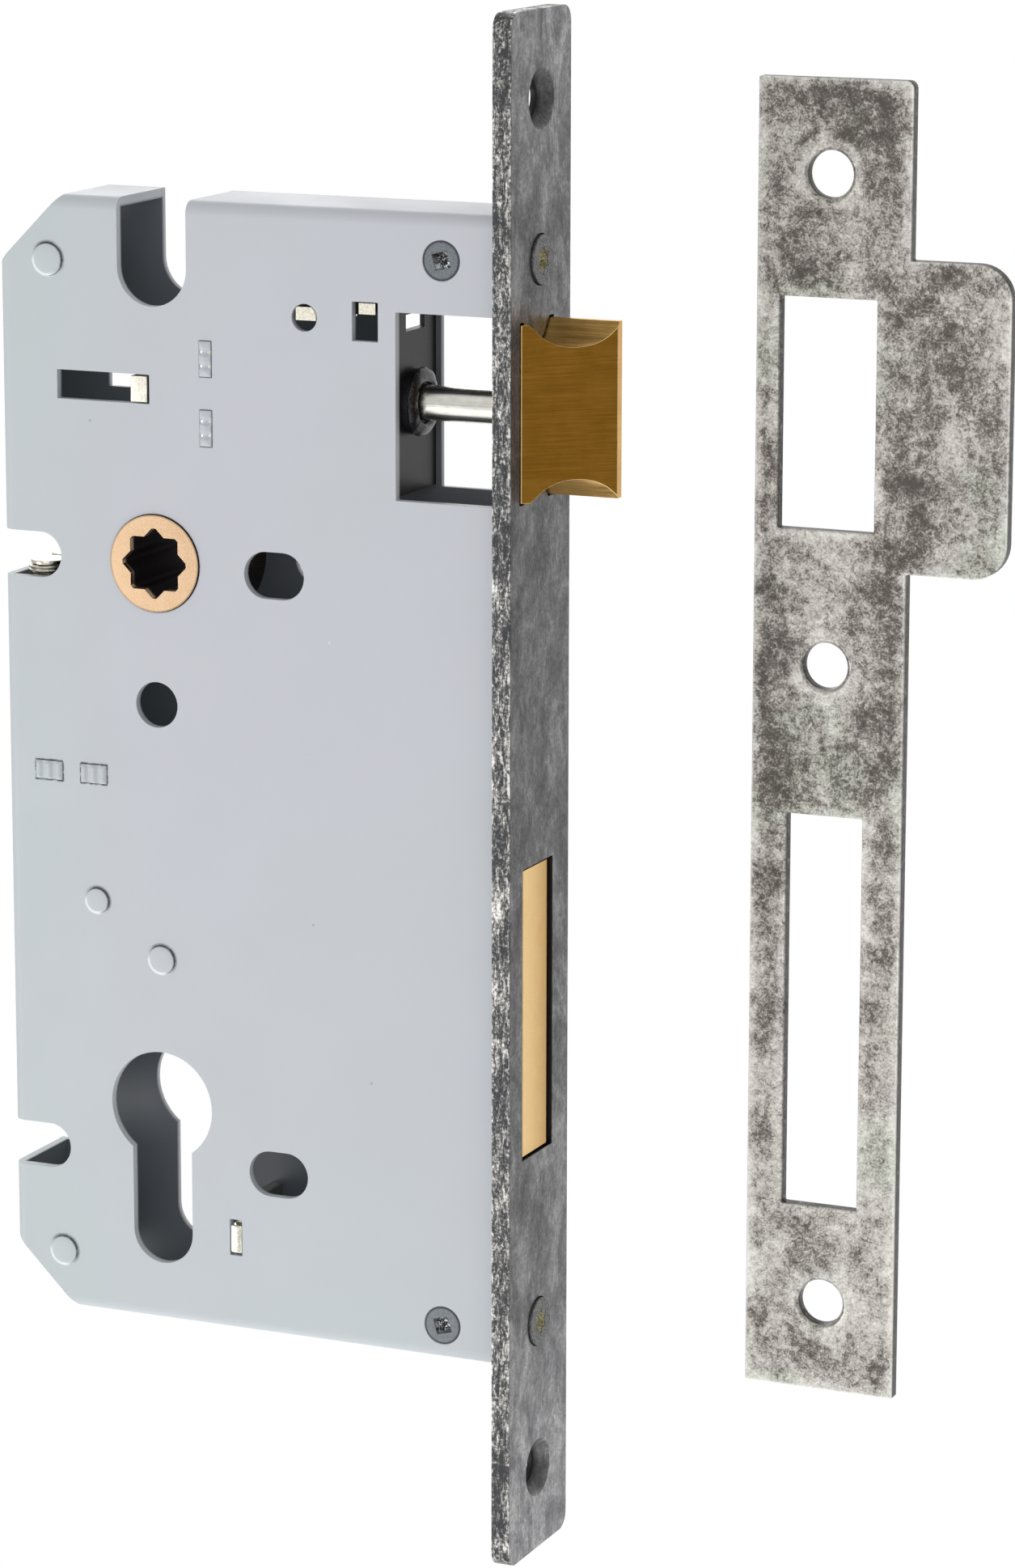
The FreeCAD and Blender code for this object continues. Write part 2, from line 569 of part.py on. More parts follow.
tail_slot = box("bolt_back - 1", "-12.0", "tail_near - 0.05", "tail_far + 0.05", "-46.0", "-11.0")
RIVETS = (("-20.0", "-41.0"), ("-20.0", "-16.5"))
rivet_holes = [cyl("y", "bolt_near - 1", "bolt_far + 1", x, z, "1.52") for x, z in RIVETS]
node(cut(bolt, tail_slot, *(edges + rivet_holes)), "deadbolt_head")
tail = fuse(
    box("-62.0", "-12.2", "tail_near", "tail_far", "-25.3", "-12.0"),
    box("-30.0", "-12.2", "tail_near", "tail_far", "-45.5", "-12.0"),
    box("-69.6", "-62.0", "tail_near", "tail_far", "-16.0", "-3.5"),
    box("-62.0", "-58.0", "tail_near", "tail_far", "-16.0", "-8.0"))
node(cut(tail,
         cyl("y", "-3", "2", "-66.7", "-7.0", "2.0"),
         box("-68.7", "-64.7", "-3", "2", "-9.4", "-7.0"),
         cyl("y", "-3", "2", "-66.7", "-9.4", "2.0"),
         *[cyl("y", "-3", "2", x, z, "1.52") for x, z in RIVETS]), "deadbolt_tail")
for word, (x, z) in zip(("lower", "upper"), RIVETS):
    node(cyl("y", "bolt_near + 0.1", "bolt_far - 0.1", x, z, "1.5"), "deadbolt_rivet_" + word)
node(cyl("y", "-5.2", "tail_near", "-58.0", "-18.7", "1.5"), "locking_stud")

# ---------------------------------------------------------------- throw lever and its drive pin
# pivot (-56.7, -28.7); pin 22 mm above it, leaning 27.04 degrees back at rest
lever = fuse(
    cyl("y", "0.9", "3.4", "-56.7", "-28.7", "4.5"),
    cyl("y", "0.9", "3.4", "-66.7", "-9.1", "3.0"),
    pad([("-60.6", "-30.9"), ("-52.8", "-26.5"), ("-64.1", "-7.6"), ("-69.3", "-10.6")], "0.9", "3.4"),
    pad([("-58.9", "-29.8"), ("-54.5", "-27.5"), ("-50.3", "-37.0"), ("-54.0", "-38.9")], "0.9", "3.4"))
node(cut(lever,
         cyl("y", "0", "5", "-56.7", "-28.7", "2.28"),
         cyl("y", "0", "5", "-66.7", "-9.1", "1.62")), "throw_lever")
node(cyl("y", "-1.9", "3.6", "-66.7", "-9.1", "1.6"), "throw_pin")

# ---------------------------------------------------------------- tumbler
plate_t = pad([("-71.6", "-24.4"), ("-66.5", "-25.9"), ("-51.0", "-25.9"), ("-50.0", "-36.4"), ("-46.0", "-36.4"),
               ("-45.0", "-25.9"), ("-31.5", "-25.9"), ("-30.0", "-24.0"), ("-30.0", "-13.0"), ("-31.5", "-11.5"),
               ("-68.5", "-11.5"), ("-71.6", "-16.0")], "-5.2", "-2.6")
gate = pad([("-60.2", "-21.1"), ("-35.5", "-23.3"), ("-35.5", "-17.0"), ("-60.2", "-17.0")], "-6", "-2")
node(cut(plate_t, gate,
         cyl("y", "-6", "-2", "-67.7", "-20.4", "2.03"),
         box("-59.9", "-56.1", "-6", "-2", "-17.2", "-15.3"),
         box("-39.9", "-36.1", "-6", "-2", "-17.2", "-15.3")), "tumbler")
# leaf spring held under the spring seat, its tip resting just above the tumbler's top edge
node(pad([("-80.0", "-2.02"), ("-71.8", "-2.02"), ("-61.2", "-10.98"), ("-58.4", "-10.5"), ("-58.3", "-10.85"),
          ("-61.35", "-11.4"), ("-72.0", "-2.42"), ("-80.0", "-2.42")], "-4.9", "-2.9"), "tumbler_spring")

# ---------------------------------------------------------------- lower bridge between the plates
node(fuse(
    box("-45.4", "-43.45", "-6.4", "6.7", "-76.5", "-66.5"),
    box("-45.4", "-43.45", "case_near + 0.1", "case_far - 0.1", "-74.1", "-69.6")), "lower_bridge")

# ---------------------------------------------------------------- strike plate
SN, SF = "strike_near", "strike_near + strike_thick"
strike = fuse(
    box("strike_back", "strike_front - 1.2", SN, SF, "strike_bottom", "strike_top"),
    box("strike_back", "strike_front", SN, SF, "strike_bottom", "strike_top - 1.2"),
    cyl("y", SN, SF, "strike_front - 1.2", "strike_top - 1.2", "1.2"),
    box("strike_front - 2", "lip_front - lip_rad", SN, SF, "lip_bottom", "lip_top"),
    box("lip_front - lip_rad - 1", "lip_front", SN, SF, "lip_bottom + lip_rad", "lip_top - lip_rad"),
    cyl("y", SN, SF, "lip_front - lip_rad", "lip_top - lip_rad", "lip_rad"),
    cyl("y", SN, SF, "lip_front - lip_rad", "lip_bottom + lip_rad", "lip_rad"))
strike_cuts = [
    box("32.7", "47.95", SN + " - 1", SF + " + 1", "40.4", "75.05"),
    box("34.75", "46.85", SN + " - 1", SF + " + 1", "-63.9", "-2.9"),
]
STRIKE_HOLES = (("40.3", "93.2"), ("40.5", "19.9"), ("41.2", "-79.1"))
for x, z in STRIKE_HOLES:
    strike_cuts.append(cyl("y", SN + " - 1", SF + " + 1", x, z, "3.5"))
    strike_cuts.append(cone("y", SN, SN + " + 0.5", x, z, "4.0", "3.5"))
node(cut(strike, *strike_cuts), "strike_plate")

# ---------------------------------------------------------------- check and export
doc.recompute()
bad = []
for o in doc.Objects:
    if any(w in o.State for w in ("Invalid", "Error")):
        bad.append((o.Name, o.Label, list(o.State)))
for o in nodes:
    s = o.Shape
    if s.isNull() or not s.isValid() or not s.Solids:
        bad.append((o.Name, o.Label, "null or not valid"))
if bad:
    raise RuntimeError("bad objects: %s" % bad)
os.makedirs("parts", exist_ok=True)
for o in nodes:
    o.Shape.exportStep(os.path.join("parts", o.Label + ".step"))
    b = o.Shape.BoundBox
    print("%-24s solids %d  x %.2f..%.2f  y %.2f..%.2f  z %.2f..%.2f  v %.0f" % (
        o.Label, len(o.Shape.Solids), b.XMin, b.XMax, b.YMin, b.YMax, b.ZMin, b.ZMax, o.Shape.Volume))
print(len(nodes), "nodes")
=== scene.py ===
import json
import math

import bmesh
import bpy
import numpy as np
from mathutils import Matrix, Vector, noise


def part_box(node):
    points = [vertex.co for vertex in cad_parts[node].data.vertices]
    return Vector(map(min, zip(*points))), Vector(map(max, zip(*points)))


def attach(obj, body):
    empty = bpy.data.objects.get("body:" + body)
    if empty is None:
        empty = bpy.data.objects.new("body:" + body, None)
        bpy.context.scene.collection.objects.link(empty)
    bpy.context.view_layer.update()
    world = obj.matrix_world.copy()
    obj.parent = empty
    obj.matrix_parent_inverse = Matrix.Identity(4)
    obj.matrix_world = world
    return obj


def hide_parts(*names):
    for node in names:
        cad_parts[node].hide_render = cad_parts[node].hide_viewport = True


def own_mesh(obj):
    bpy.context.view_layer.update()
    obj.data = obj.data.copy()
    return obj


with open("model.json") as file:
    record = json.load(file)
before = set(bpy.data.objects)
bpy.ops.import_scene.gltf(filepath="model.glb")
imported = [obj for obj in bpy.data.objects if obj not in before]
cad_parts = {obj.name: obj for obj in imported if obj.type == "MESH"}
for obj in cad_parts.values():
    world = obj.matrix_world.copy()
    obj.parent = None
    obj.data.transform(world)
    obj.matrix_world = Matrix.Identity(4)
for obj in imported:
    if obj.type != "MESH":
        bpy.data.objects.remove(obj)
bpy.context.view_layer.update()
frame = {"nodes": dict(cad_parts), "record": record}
nodes = frame["nodes"]
scene = bpy.context.scene
MM = 0.001

# ------------------------------------------------------------------ camera
CAM_AT = Vector((0.3162277, -0.7225421, 0.1736932))
AZ, EL, ROLL = (math.radians(a) for a in (23.78796, 12.25448, 0.07735))
look = Vector((-math.sin(AZ) * math.cos(EL), math.cos(AZ) * math.cos(EL), -math.sin(EL)))
right = look.cross(Vector((0, 0, 1))).normalized()
down = look.cross(right)
cr, sr = math.cos(ROLL), math.sin(ROLL)
cx = right * cr - down * sr
cy = right * sr + down * cr
cam_data = bpy.data.cameras.new("camera")
cam_data.sensor_width = 36
cam_data.lens = 124.046
cam_data.clip_start = 0.01
cam_data.clip_end = 50
cam = bpy.data.objects.new("camera", cam_data)
cam.matrix_world = Matrix((
    (cx.x, -cy.x, -look.x, CAM_AT.x),
    (cx.y, -cy.y, -look.y, CAM_AT.y),
    (cx.z, -cy.z, -look.z, CAM_AT.z),
    (0, 0, 0, 1),
))
scene.collection.objects.link(cam)
scene.camera = cam
scene.view_settings.view_transform = "Standard"


# ------------------------------------------------------------------ node helpers
class Tree:
    """A few shorthands for writing shader trees."""

    def __init__(self, tree):
        self.t = tree
        self.n = tree.nodes
        self.n.clear()

    def new(self, kind, **props):
        o = self.n.new(kind)
        for k, v in props.items():
            setattr(o, k, v)
        return o

    def put(self, socket, v):
        if v is None:
            return
        if hasattr(v, "is_output"):
            self.t.links.new(v, socket)
        elif isinstance(v, (tuple, list)) and len(v) == 3 and len(socket.default_value) == 4:
            socket.default_value = (*v, 1)
        else:
            socket.default_value = v

    def math(self, op, a, b=None, c=None, clamp=False):
        o = self.new("ShaderNodeMath", operation=op, use_clamp=clamp)
        for s, v in zip(o.inputs, (a, b, c)):
            self.put(s, v)
        return o.outputs[0]

    def vec(self, op, a, b=None):
        o = self.new("ShaderNodeVectorMath", operation=op)
        self.put(o.inputs[0], a)
        if op == "SCALE":
            self.put(o.inputs["Scale"], b)
        else:
            self.put(o.inputs[1], b)
        return o.outputs["Value"] if op in ("DOT_PRODUCT", "LENGTH", "DISTANCE") else o.outputs["Vector"]

    def mix(self, f, a, b, blend="MIX"):
        o = self.new("ShaderNodeMix", data_type="RGBA", blend_type=blend)
        self.put(o.inputs[0], f)
        self.put(o.inputs[6], a)
        self.put(o.inputs[7], b)
        return o.outputs[2]

    def mixf(self, f, a, b):
        o = self.new("ShaderNodeMix", data_type="FLOAT")
        self.put(o.inputs[0], f)
        self.put(o.inputs[2], a)
        self.put(o.inputs[3], b)
        return o.outputs[0]

    def noise(self, vec, scale, detail=2.0, rough=0.5, distort=0.0):
        o = self.new("ShaderNodeTexNoise")
        self.put(o.inputs["Vector"], vec)
        self.put(o.inputs["Scale"], scale)
        self.put(o.inputs["Detail"], detail)
        self.put(o.inputs["Roughness"], rough)
        self.put(o.inputs["Distortion"], distort)
        return o.outputs["Fac"]

    def voronoi(self, vec, scale, feature="F1", rand=1.0):
        o = self.new("ShaderNodeTexVoronoi", feature=feature)
        self.put(o.inputs["Vector"], vec)
        self.put(o.inputs["Scale"], scale)
        self.put(o.inputs["Randomness"], rand)
        return o

    def ramp(self, f, *stops, interp="LINEAR"):
        o = self.new("ShaderNodeValToRGB")
        r = o.color_ramp
        r.interpolation = interp
        while len(r.elements) < len(stops):
            r.elements.new(0.5)
        for e, (p, c) in zip(r.elements, stops):
            e.position = p
            e.color = (*c, 1) if hasattr(c, "__len__") else (c, c, c, 1)
        self.put(o.inputs[0], f)
        return o.outputs[0]

    def span(self, v, lo, hi, a=0.0, b=1.0, smooth=True):
        o = self.new("ShaderNodeMapRange", interpolation_type="SMOOTHSTEP" if smooth else "LINEAR", clamp=True) if smooth else self.new("ShaderNodeMapRange", clamp=True)
        for s, x in zip(o.inputs, (v, lo, hi, a, b)):
            self.put(s, x)
        return o.outputs[0]

    def split(self, v):
        o = self.new("ShaderNodeSeparateXYZ")
        self.put(o.inputs[0], v)
        return o.outputs

    def join(self, x, y, z):
        o = self.new("ShaderNodeCombineXYZ")
        for s, v in zip(o.inputs, (x, y, z)):
            self.put(s, v)
        return o.outputs[0]

    def bump(self, height, distance_mm, strength=1.0, under=None):
        o = self.new("ShaderNodeBump")
        o.inputs["Strength"].default_value = strength
        o.inputs["Distance"].default_value = distance_mm * MM
        self.put(o.inputs["Height"], height)
        self.put(o.inputs["Normal"], under)
        return o.outputs[0]

    def mm(self):
        """Object coordinates in millimetres."""
        c = self.new("ShaderNodeTexCoord")
        return self.vec("MULTIPLY", c.outputs["Object"], (1000.0, 1000.0, 1000.0))

    def normal(self):
        c = self.new("ShaderNodeTexCoord")
        return c.outputs["Normal"]

    # signed distances in the XZ plane, positive inside a box and outside a hole
    def inside_box(self, xz, cx_, cz_, hx, hz):
        x, z = xz
        dx = self.math("SUBTRACT", hx, self.math("ABSOLUTE", self.math("SUBTRACT", x, cx_)))
        dz = self.math("SUBTRACT", hz, self.math("ABSOLUTE", self.math("SUBTRACT", z, cz_)))
        return self.math("MINIMUM", dx, dz)

    def outside_box(self, xz, cx_, cz_, hx, hz):
        x, z = xz
        dx = self.math("MAXIMUM", self.math("SUBTRACT", self.math("ABSOLUTE", self.math("SUBTRACT", x, cx_)), hx), 0.0)
        dz = self.math("MAXIMUM", self.math("SUBTRACT", self.math("ABSOLUTE", self.math("SUBTRACT", z, cz_)), hz), 0.0)
        return self.math("SQRT", self.math("ADD", self.math("MULTIPLY", dx, dx), self.math("MULTIPLY", dz, dz)))

    def outside_disc(self, xz, cx_, cz_, r):
        x, z = xz
        dx, dz = self.math("SUBTRACT", x, cx_), self.math("SUBTRACT", z, cz_)
        return self.math("SUBTRACT", self.math("SQRT", self.math("ADD", self.math("MULTIPLY", dx, dx), self.math("MULTIPLY", dz, dz))), r)

    def least(self, *v):
        out = v[0]
        for x in v[1:]:
            out = self.math("MINIMUM", out, x)
        return out


def material(name):
    m = bpy.data.materials.new(name)
    m.use_nodes = True
    t = Tree(m.node_tree)
    out = t.new("ShaderNodeOutputMaterial")
    s = t.new("ShaderNodeBsdfPrincipled")
    t.t.links.new(s.outputs[0], out.inputs[0])
    return m, t, s


# ------------------------------------------------------------------ materials
RIVETS = ((-74.6, 78.2, 2.45), (-74.5, -77.3, 2.3), (-67.7, -20.4, 1.98), (-56.7, -28.7, 2.22))


def case_paint():
    m, t, s = material("case_paint")
    p = t.mm()
    x, y, z = t.split(p)
    broad = t.noise(p, 0.016, 2.0, 0.5)
    hue = t.math("MULTIPLY", t.span(broad, 0.38, 0.62), 0.30)
    hue = t.math("ADD", hue, t.math("MULTIPLY", t.span(x, -56.0, -80.0), 0.75))
    hue = t.math("ADD", hue, t.math("MULTIPLY", t.span(z, -40.0, -82.0), 0.55), clamp=True)
    base = t.mix(hue, (0.562, 0.576, 0.622), (0.542, 0.592, 0.606))
    soft = t.noise(p, 0.07, 3.0, 0.55)
    base = t.mix(t.span(soft, 0.3, 0.7, 0.0, 0.10), base, (0.50, 0.53, 0.57))
    # dust and small pits under the paint
    cell = t.voronoi(p, 0.105)
    dot = t.math("LESS_THAN", cell.outputs["Distance"], 0.024)
    pick = t.split(cell.outputs["Color"])
    dark = t.math("MULTIPLY", dot, t.math("GREATER_THAN", pick[0], 0.62))
    light = t.math("MULTIPLY", dot, t.math("LESS_THAN", pick[0], 0.16))
    base = t.mix(t.math("MULTIPLY", dark, 0.35), base, (0.20, 0.21, 0.24))
    base = t.mix(t.math("MULTIPLY", light, 0.6), base, (0.80, 0.82, 0.84))
    # painted shade lies against the upper right of every riveted end, and a pale painted highlight below left of it
    painted_shade, worn = None, None
    for cx_, cz_, r_ in RIVETS:
        dx, dz = t.math("SUBTRACT", x, cx_), t.math("SUBTRACT", z, cz_)
        d_ = t.math("SQRT", t.math("ADD", t.math("MULTIPLY", dx, dx), t.math("MULTIPLY", dz, dz)))
        side = t.math("DIVIDE", t.math("ADD", t.math("MULTIPLY", dx, 0.62), t.math("MULTIPLY", dz, 0.78)), d_)
        band = t.math("MULTIPLY", t.span(d_, r_ - 0.16, r_ - 0.02), t.span(d_, r_ + 0.62, r_ + 0.12))
        g_ = t.math("MULTIPLY", band, t.span(side, -0.35, 0.55))
        w_ = t.math("MULTIPLY", t.math("MULTIPLY", t.span(d_, r_ - 0.50, r_ - 0.16), t.span(d_, r_ + 0.30, r_ + 0.05)), t.span(side, -0.25, -0.75))
        painted_shade = g_ if painted_shade is None else t.math("MAXIMUM", painted_shade, g_)
        worn = w_ if worn is None else t.math("MAXIMUM", worn, w_)
    # ragged painted shade also follows the edges of the staked tab ends at the rear
    ragged = t.span(t.noise(p, 1.3, 3.0, 0.7), 0.40, 0.54)
    tabs = t.least(t.outside_box((x, z), -75.7, -0.5, 2.3, 1.5), t.outside_box((x, z), -67.975, -0.5, 2.225, 1.5))
    tab_edge_shade = t.math("MULTIPLY", t.math("MULTIPLY", t.span(tabs, 0.34, 0.10), t.math("GREATER_THAN", tabs, 0.001)), ragged)
    painted_shade = t.math("MAXIMUM", t.math("MULTIPLY", painted_shade, t.mixf(ragged, 0.65, 1.0)), tab_edge_shade)
    # the painted shade round the riveted ends and the tab ends goes in dark
    base = t.mix(t.math("MULTIPLY", painted_shade, 0.85), base, (0.070, 0.075, 0.088))
    # worn holds the pale painted highlight below left of each riveted end
    base = t.mix(t.math("MULTIPLY", worn, 0.85), base, (0.92, 0.94, 0.96))
    # painted shade: the inner faces are made dark, with a faint painted bluish glow
    inner = t.math("MULTIPLY", t.span(y, -7.15, -6.6), t.span(y, 7.6, 6.9))
    rim = t.least(t.math("ADD", x, 83.1), t.math("ADD", z, 86.4), t.math("SUBTRACT", 87.9, z))
    inner = t.math("MULTIPLY", inner, t.span(rim, 0.9, 1.5))
    base = t.mix(t.math("MULTIPLY", inner, 0.93), base, (0.105, 0.112, 0.130))
    t.put(s.inputs["Base Color"], base)
    # the faint painted bluish glow on the shaded inner faces
    t.put(s.inputs["Emission Color"], (0.80, 0.92, 1.0))
    t.put(s.inputs["Emission Strength"], t.math("MULTIPLY", inner, 0.016))
    peel = t.noise(p, 0.9, 2.0, 0.5)
    fine = t.noise(p, 4.0, 2.0, 0.5)
    t.put(s.inputs["Roughness"], t.span(soft, 0.3, 0.7, 0.40, 0.48))
    s.inputs["Specular IOR Level"].default_value = 0.42
    nb = t.bump(peel, 0.010)
    nb = t.bump(fine, 0.0025, under=nb)
    nb = t.bump(t.math("ADD", dark, light), 0.05, under=nb)
    t.put(s.inputs["Normal"], nb)
    return m


def strike_metal():
    """Nickel worn through in sharp-edged brown-black blotches, bare along thin borders."""
    m, t, s = material("aged_nickel")
    p = t.mm()
    x, y, z = t.split(p)
    nx, ny, nz = t.split(t.normal())
    cloud = t.noise(p, 0.085, 2.0, 0.55, 0.5)
    patch = t.noise(t.vec("ADD", p, (31.0, 7.0, 13.0)), 0.24, 5.0, 0.68, 0.5)
    flake = t.noise(t.vec("ADD", p, (11.0, 3.0, 8.0)), 1.05, 4.0, 0.72, 0.8)
    grain = t.noise(p, 3.0, 3.0, 0.75)
    xz = (x, z)
    outer = t.math("MAXIMUM", t.inside_box(xz, 41.07, 7.15, 12.02, 100.05), t.inside_box(xz, 57.0, 57.9, 11.7, 23.2))
    opening = t.least(t.outside_box(xz, 40.325, 57.725, 7.62, 17.32), t.outside_box(xz, 40.8, -33.4, 6.05, 30.5))
    hole = t.least(t.outside_disc(xz, 40.3, 93.2, 4.0), t.outside_disc(xz, 40.5, 19.9, 4.0), t.outside_disc(xz, 41.2, -79.1, 4.0))
    wear = t.math("MULTIPLY", t.math("SUBTRACT", t.noise(t.vec("ADD", p, (3.0, 0.0, 40.0)), 0.30, 3.0, 0.6), 0.5), 4.2)
    bare = t.math("MULTIPLY", t.span(t.math("ADD", outer, wear), 0.5, 1.7, 1.0, 0.0), 0.13)
    bare = t.math("ADD", bare, t.math("MULTIPLY", t.span(t.math("ADD", opening, wear), 0.7, 2.1, 1.0, 0.0), 0.10))
    bare = t.math("ADD", bare, t.math("MULTIPLY", t.span(t.math("ADD", hole, wear), 0.8, 2.4, 1.0, 0.0), 0.12))
    # a thin painted highlight just inside the plate's outer border
    line = t.math("MULTIPLY", t.span(outer, 0.45, 0.05), 0.16)
    # the lower part and the middle are paler
    lift = t.math("SUBTRACT", t.math("MULTIPLY", t.span(z, 100.0, -80.0), 0.085), 0.050)
    v = t.math("ADD", t.math("MULTIPLY", cloud, 0.40), t.math("MULTIPLY", patch, 0.60))
    v = t.math("ADD", t.math("MULTIPLY", t.math("SUBTRACT", v, 0.5), 1.35), 0.53)
    v = t.math("ADD", v, t.math("MULTIPLY", t.math("SUBTRACT", flake, 0.5), 0.85))
    v = t.math("ADD", v, t.math("MULTIPLY", t.math("SUBTRACT", grain, 0.5), 0.80))
    v = t.math("ADD", t.math("ADD", v, bare), t.math("ADD", line, lift))
    tint = t.noise(t.vec("ADD", p, (90.0, 0.0, 0.0)), 0.07, 2.0, 0.5)
    shade = t.ramp(v, (0.30, (0.100, 0.088, 0.080)), (0.44, (0.190, 0.172, 0.156)), (0.54, (0.375, 0.352, 0.322)), (0.68, (0.565, 0.545, 0.505)), (0.9, (0.80, 0.785, 0.74)))
    shade = t.mix(t.span(tint, 0.50, 0.66, 0.0, 0.35), shade, t.mix(1.0, shade, (0.86, 1.0, 0.88), "MULTIPLY"))
    shade = t.mix(t.span(tint, 0.48, 0.34, 0.0, 0.22), shade, t.mix(1.0, shade, (1.0, 0.93, 0.90), "MULTIPLY"))
    # painted shade darkens the walls of the openings and the plate's own outer edge faces; a thin painted highlight
    # runs just inside the outer border
    front = t.span(t.math("ABSOLUTE", ny), 0.30, 0.62)
    edge = t.math("SUBTRACT", 1.0, front)
    wall_shade = t.ramp(t.math("ADD", 0.5, t.math("MULTIPLY", t.math("SUBTRACT", flake, 0.5), 1.4)), (0.35, (0.018, 0.016, 0.014)), (0.62, (0.060, 0.055, 0.050)), (0.8, (0.26, 0.24, 0.22)))
    s_ = t.math("MULTIPLY", edge, t.span(y, 20.02, 20.35))
    t.put(s.inputs["Base Color"], t.mix(s_, shade, wall_shade))
    s.inputs["Metallic"].default_value = 0.82
    t.put(s.inputs["Roughness"], t.span(v, 0.35, 0.7, 0.50, 0.34))
    nb = t.bump(flake, 0.030)
    nb = t.bump(grain, 0.018, under=nb)
    t.put(s.inputs["Normal"], nb)
    return m


def face_metal():
    m, t, s = material("pewter_plate")
    p = t.mm()
    x, y, z = t.split(p)
    # brushed along Z on the front, so the pattern is stretched that way
    long = t.join(x, y, t.math("MULTIPLY", z, 0.62))
    cloud = t.noise(long, 0.20, 4.0, 0.66, 0.6)
    grain = t.noise(p, 2.1, 4.0, 0.72)
    streak = t.noise(t.join(t.math("MULTIPLY", x, 1.0), t.math("MULTIPLY", y, 2.2), t.math("MULTIPLY", z, 0.22)), 1.6, 3.0, 0.6)
    edge_line = t.noise(t.join(t.math("MULTIPLY", x, 1.5), y, t.math("MULTIPLY", z, 0.40)), 0.88, 4.0, 0.74, 1.2)
    scuff = t.noise(t.vec("ADD", p, (17.0, 2.0, 5.0)), 0.9, 4.0, 0.7, 0.6)
    nx, ny, nz = t.split(t.normal())
    side = t.span(t.math("ABSOLUTE", nx), 0.55, 0.9, 1.0, 0.0)
    rimmed = t.math("MAXIMUM", t.span(t.math("ABSOLUTE", y), 10.2, 10.6), t.span(t.math("ABSOLUTE", z), 116.6, 117.0))
    outer = t.math("MULTIPLY", side, rimmed)
    wall_shade = t.math("MULTIPLY", side, t.math("SUBTRACT", 1.0, rimmed))
    v = t.math("ADD", t.math("MULTIPLY", cloud, 0.85), 0.05)
    v = t.math("ADD", v, t.math("MULTIPLY", t.math("SUBTRACT", grain, 0.5), t.mixf(outer, 0.42, 1.15)))
    v = t.math("ADD", v, t.math("MULTIPLY", t.math("SUBTRACT", scuff, 0.5), t.mixf(outer, 0.42, 0.0)))
    v = t.math("ADD", v, t.math("MULTIPLY", t.math("SUBTRACT", streak, 0.5), t.mixf(outer, 0.30, 0.2)))
    v = t.math("ADD", v, t.math("MULTIPLY", t.math("SUBTRACT", edge_line, 0.5), t.mixf(outer, 0.0, 1.5)))
    # a painted highlight along both sharp edges of the side strips
    arris_highlight = t.math("MAXIMUM", t.span(x, 0.45, 0.10), t.span(x, 2.45, 2.80))
    v = t.math("ADD", t.math("SUBTRACT", v, t.math("MULTIPLY", outer, 0.030)), t.math("MULTIPLY", t.math("MULTIPLY", outer, arris_highlight), 0.07))
    front = t.ramp(v, (0.28, (0.085, 0.085, 0.090)), (0.50, (0.175, 0.175, 0.180)), (0.72, (0.34, 0.34, 0.33)))
    # paler towards both ends, darkest beside the latch
    along = t.ramp(t.span(z, -118.0, 118.0, smooth=False), (0.0, 0.86), (0.09, 0.70), (0.22, 0.52), (0.50, 0.43), (0.72, 0.385), (0.86, 0.47), (1.0, 0.70))
    front = t.mix(1.0, front, t.vec("SCALE", along, 2.0), "MULTIPLY")
    # the side strips get a brighter, more contrasty copy of the pewter as painted light
    flank = t.ramp(v, (0.30, (0.055, 0.056, 0.060)), (0.47, (0.125, 0.125, 0.125)), (0.60, (0.37, 0.36, 0.34)), (0.8, (0.78, 0.77, 0.73)))
    base = t.mix(outer, front, flank)
    # painted shade makes the walls of the openings near black
    t.put(s.inputs["Base Color"], t.mix(wall_shade, base, (0.026, 0.026, 0.028)))
    s.inputs["Metallic"].default_value = 0.80
    t.put(s.inputs["Roughness"], t.span(v, 0.3, 0.7, 0.50, 0.36))
    nb = t.bump(grain, 0.028)
    nb = t.bump(streak, 0.012, under=nb)
    t.put(s.inputs["Normal"], nb)
    return m


def metal(name, light, dark, rough, brush=None, grain_mm=0.006, metallic=1.0, scale=0.5):
    """Plain metal with a little colour drift, fine grain and, where brush is given, drawn lines along that axis."""
    m, t, s = material(name)
    p = t.mm()
    x, y, z = t.split(p)
    drift = t.noise(p, scale, 3.0, 0.55)
    if brush:
        k = {"x": (0.05, 6.0, 6.0), "y": (6.0, 0.05, 6.0), "z": (6.0, 6.0, 0.05)}[brush]
        line = t.noise(t.vec("MULTIPLY", p, k), 1.0, 3.0, 0.65)
    else:
        line = t.noise(p, 3.4, 3.0, 0.6)
    f = t.math("ADD", t.math("MULTIPLY", drift, 0.45), t.math("MULTIPLY", line, 0.55))
    t.put(s.inputs["Base Color"], t.mix(t.span(f, 0.36, 0.64), dark, light))
    s.inputs["Metallic"].default_value = metallic
    t.put(s.inputs["Roughness"], t.span(line, 0.3, 0.7, rough * 0.85, rough * 1.2))
    t.put(s.inputs["Normal"], t.bump(line, grain_mm))
    return m


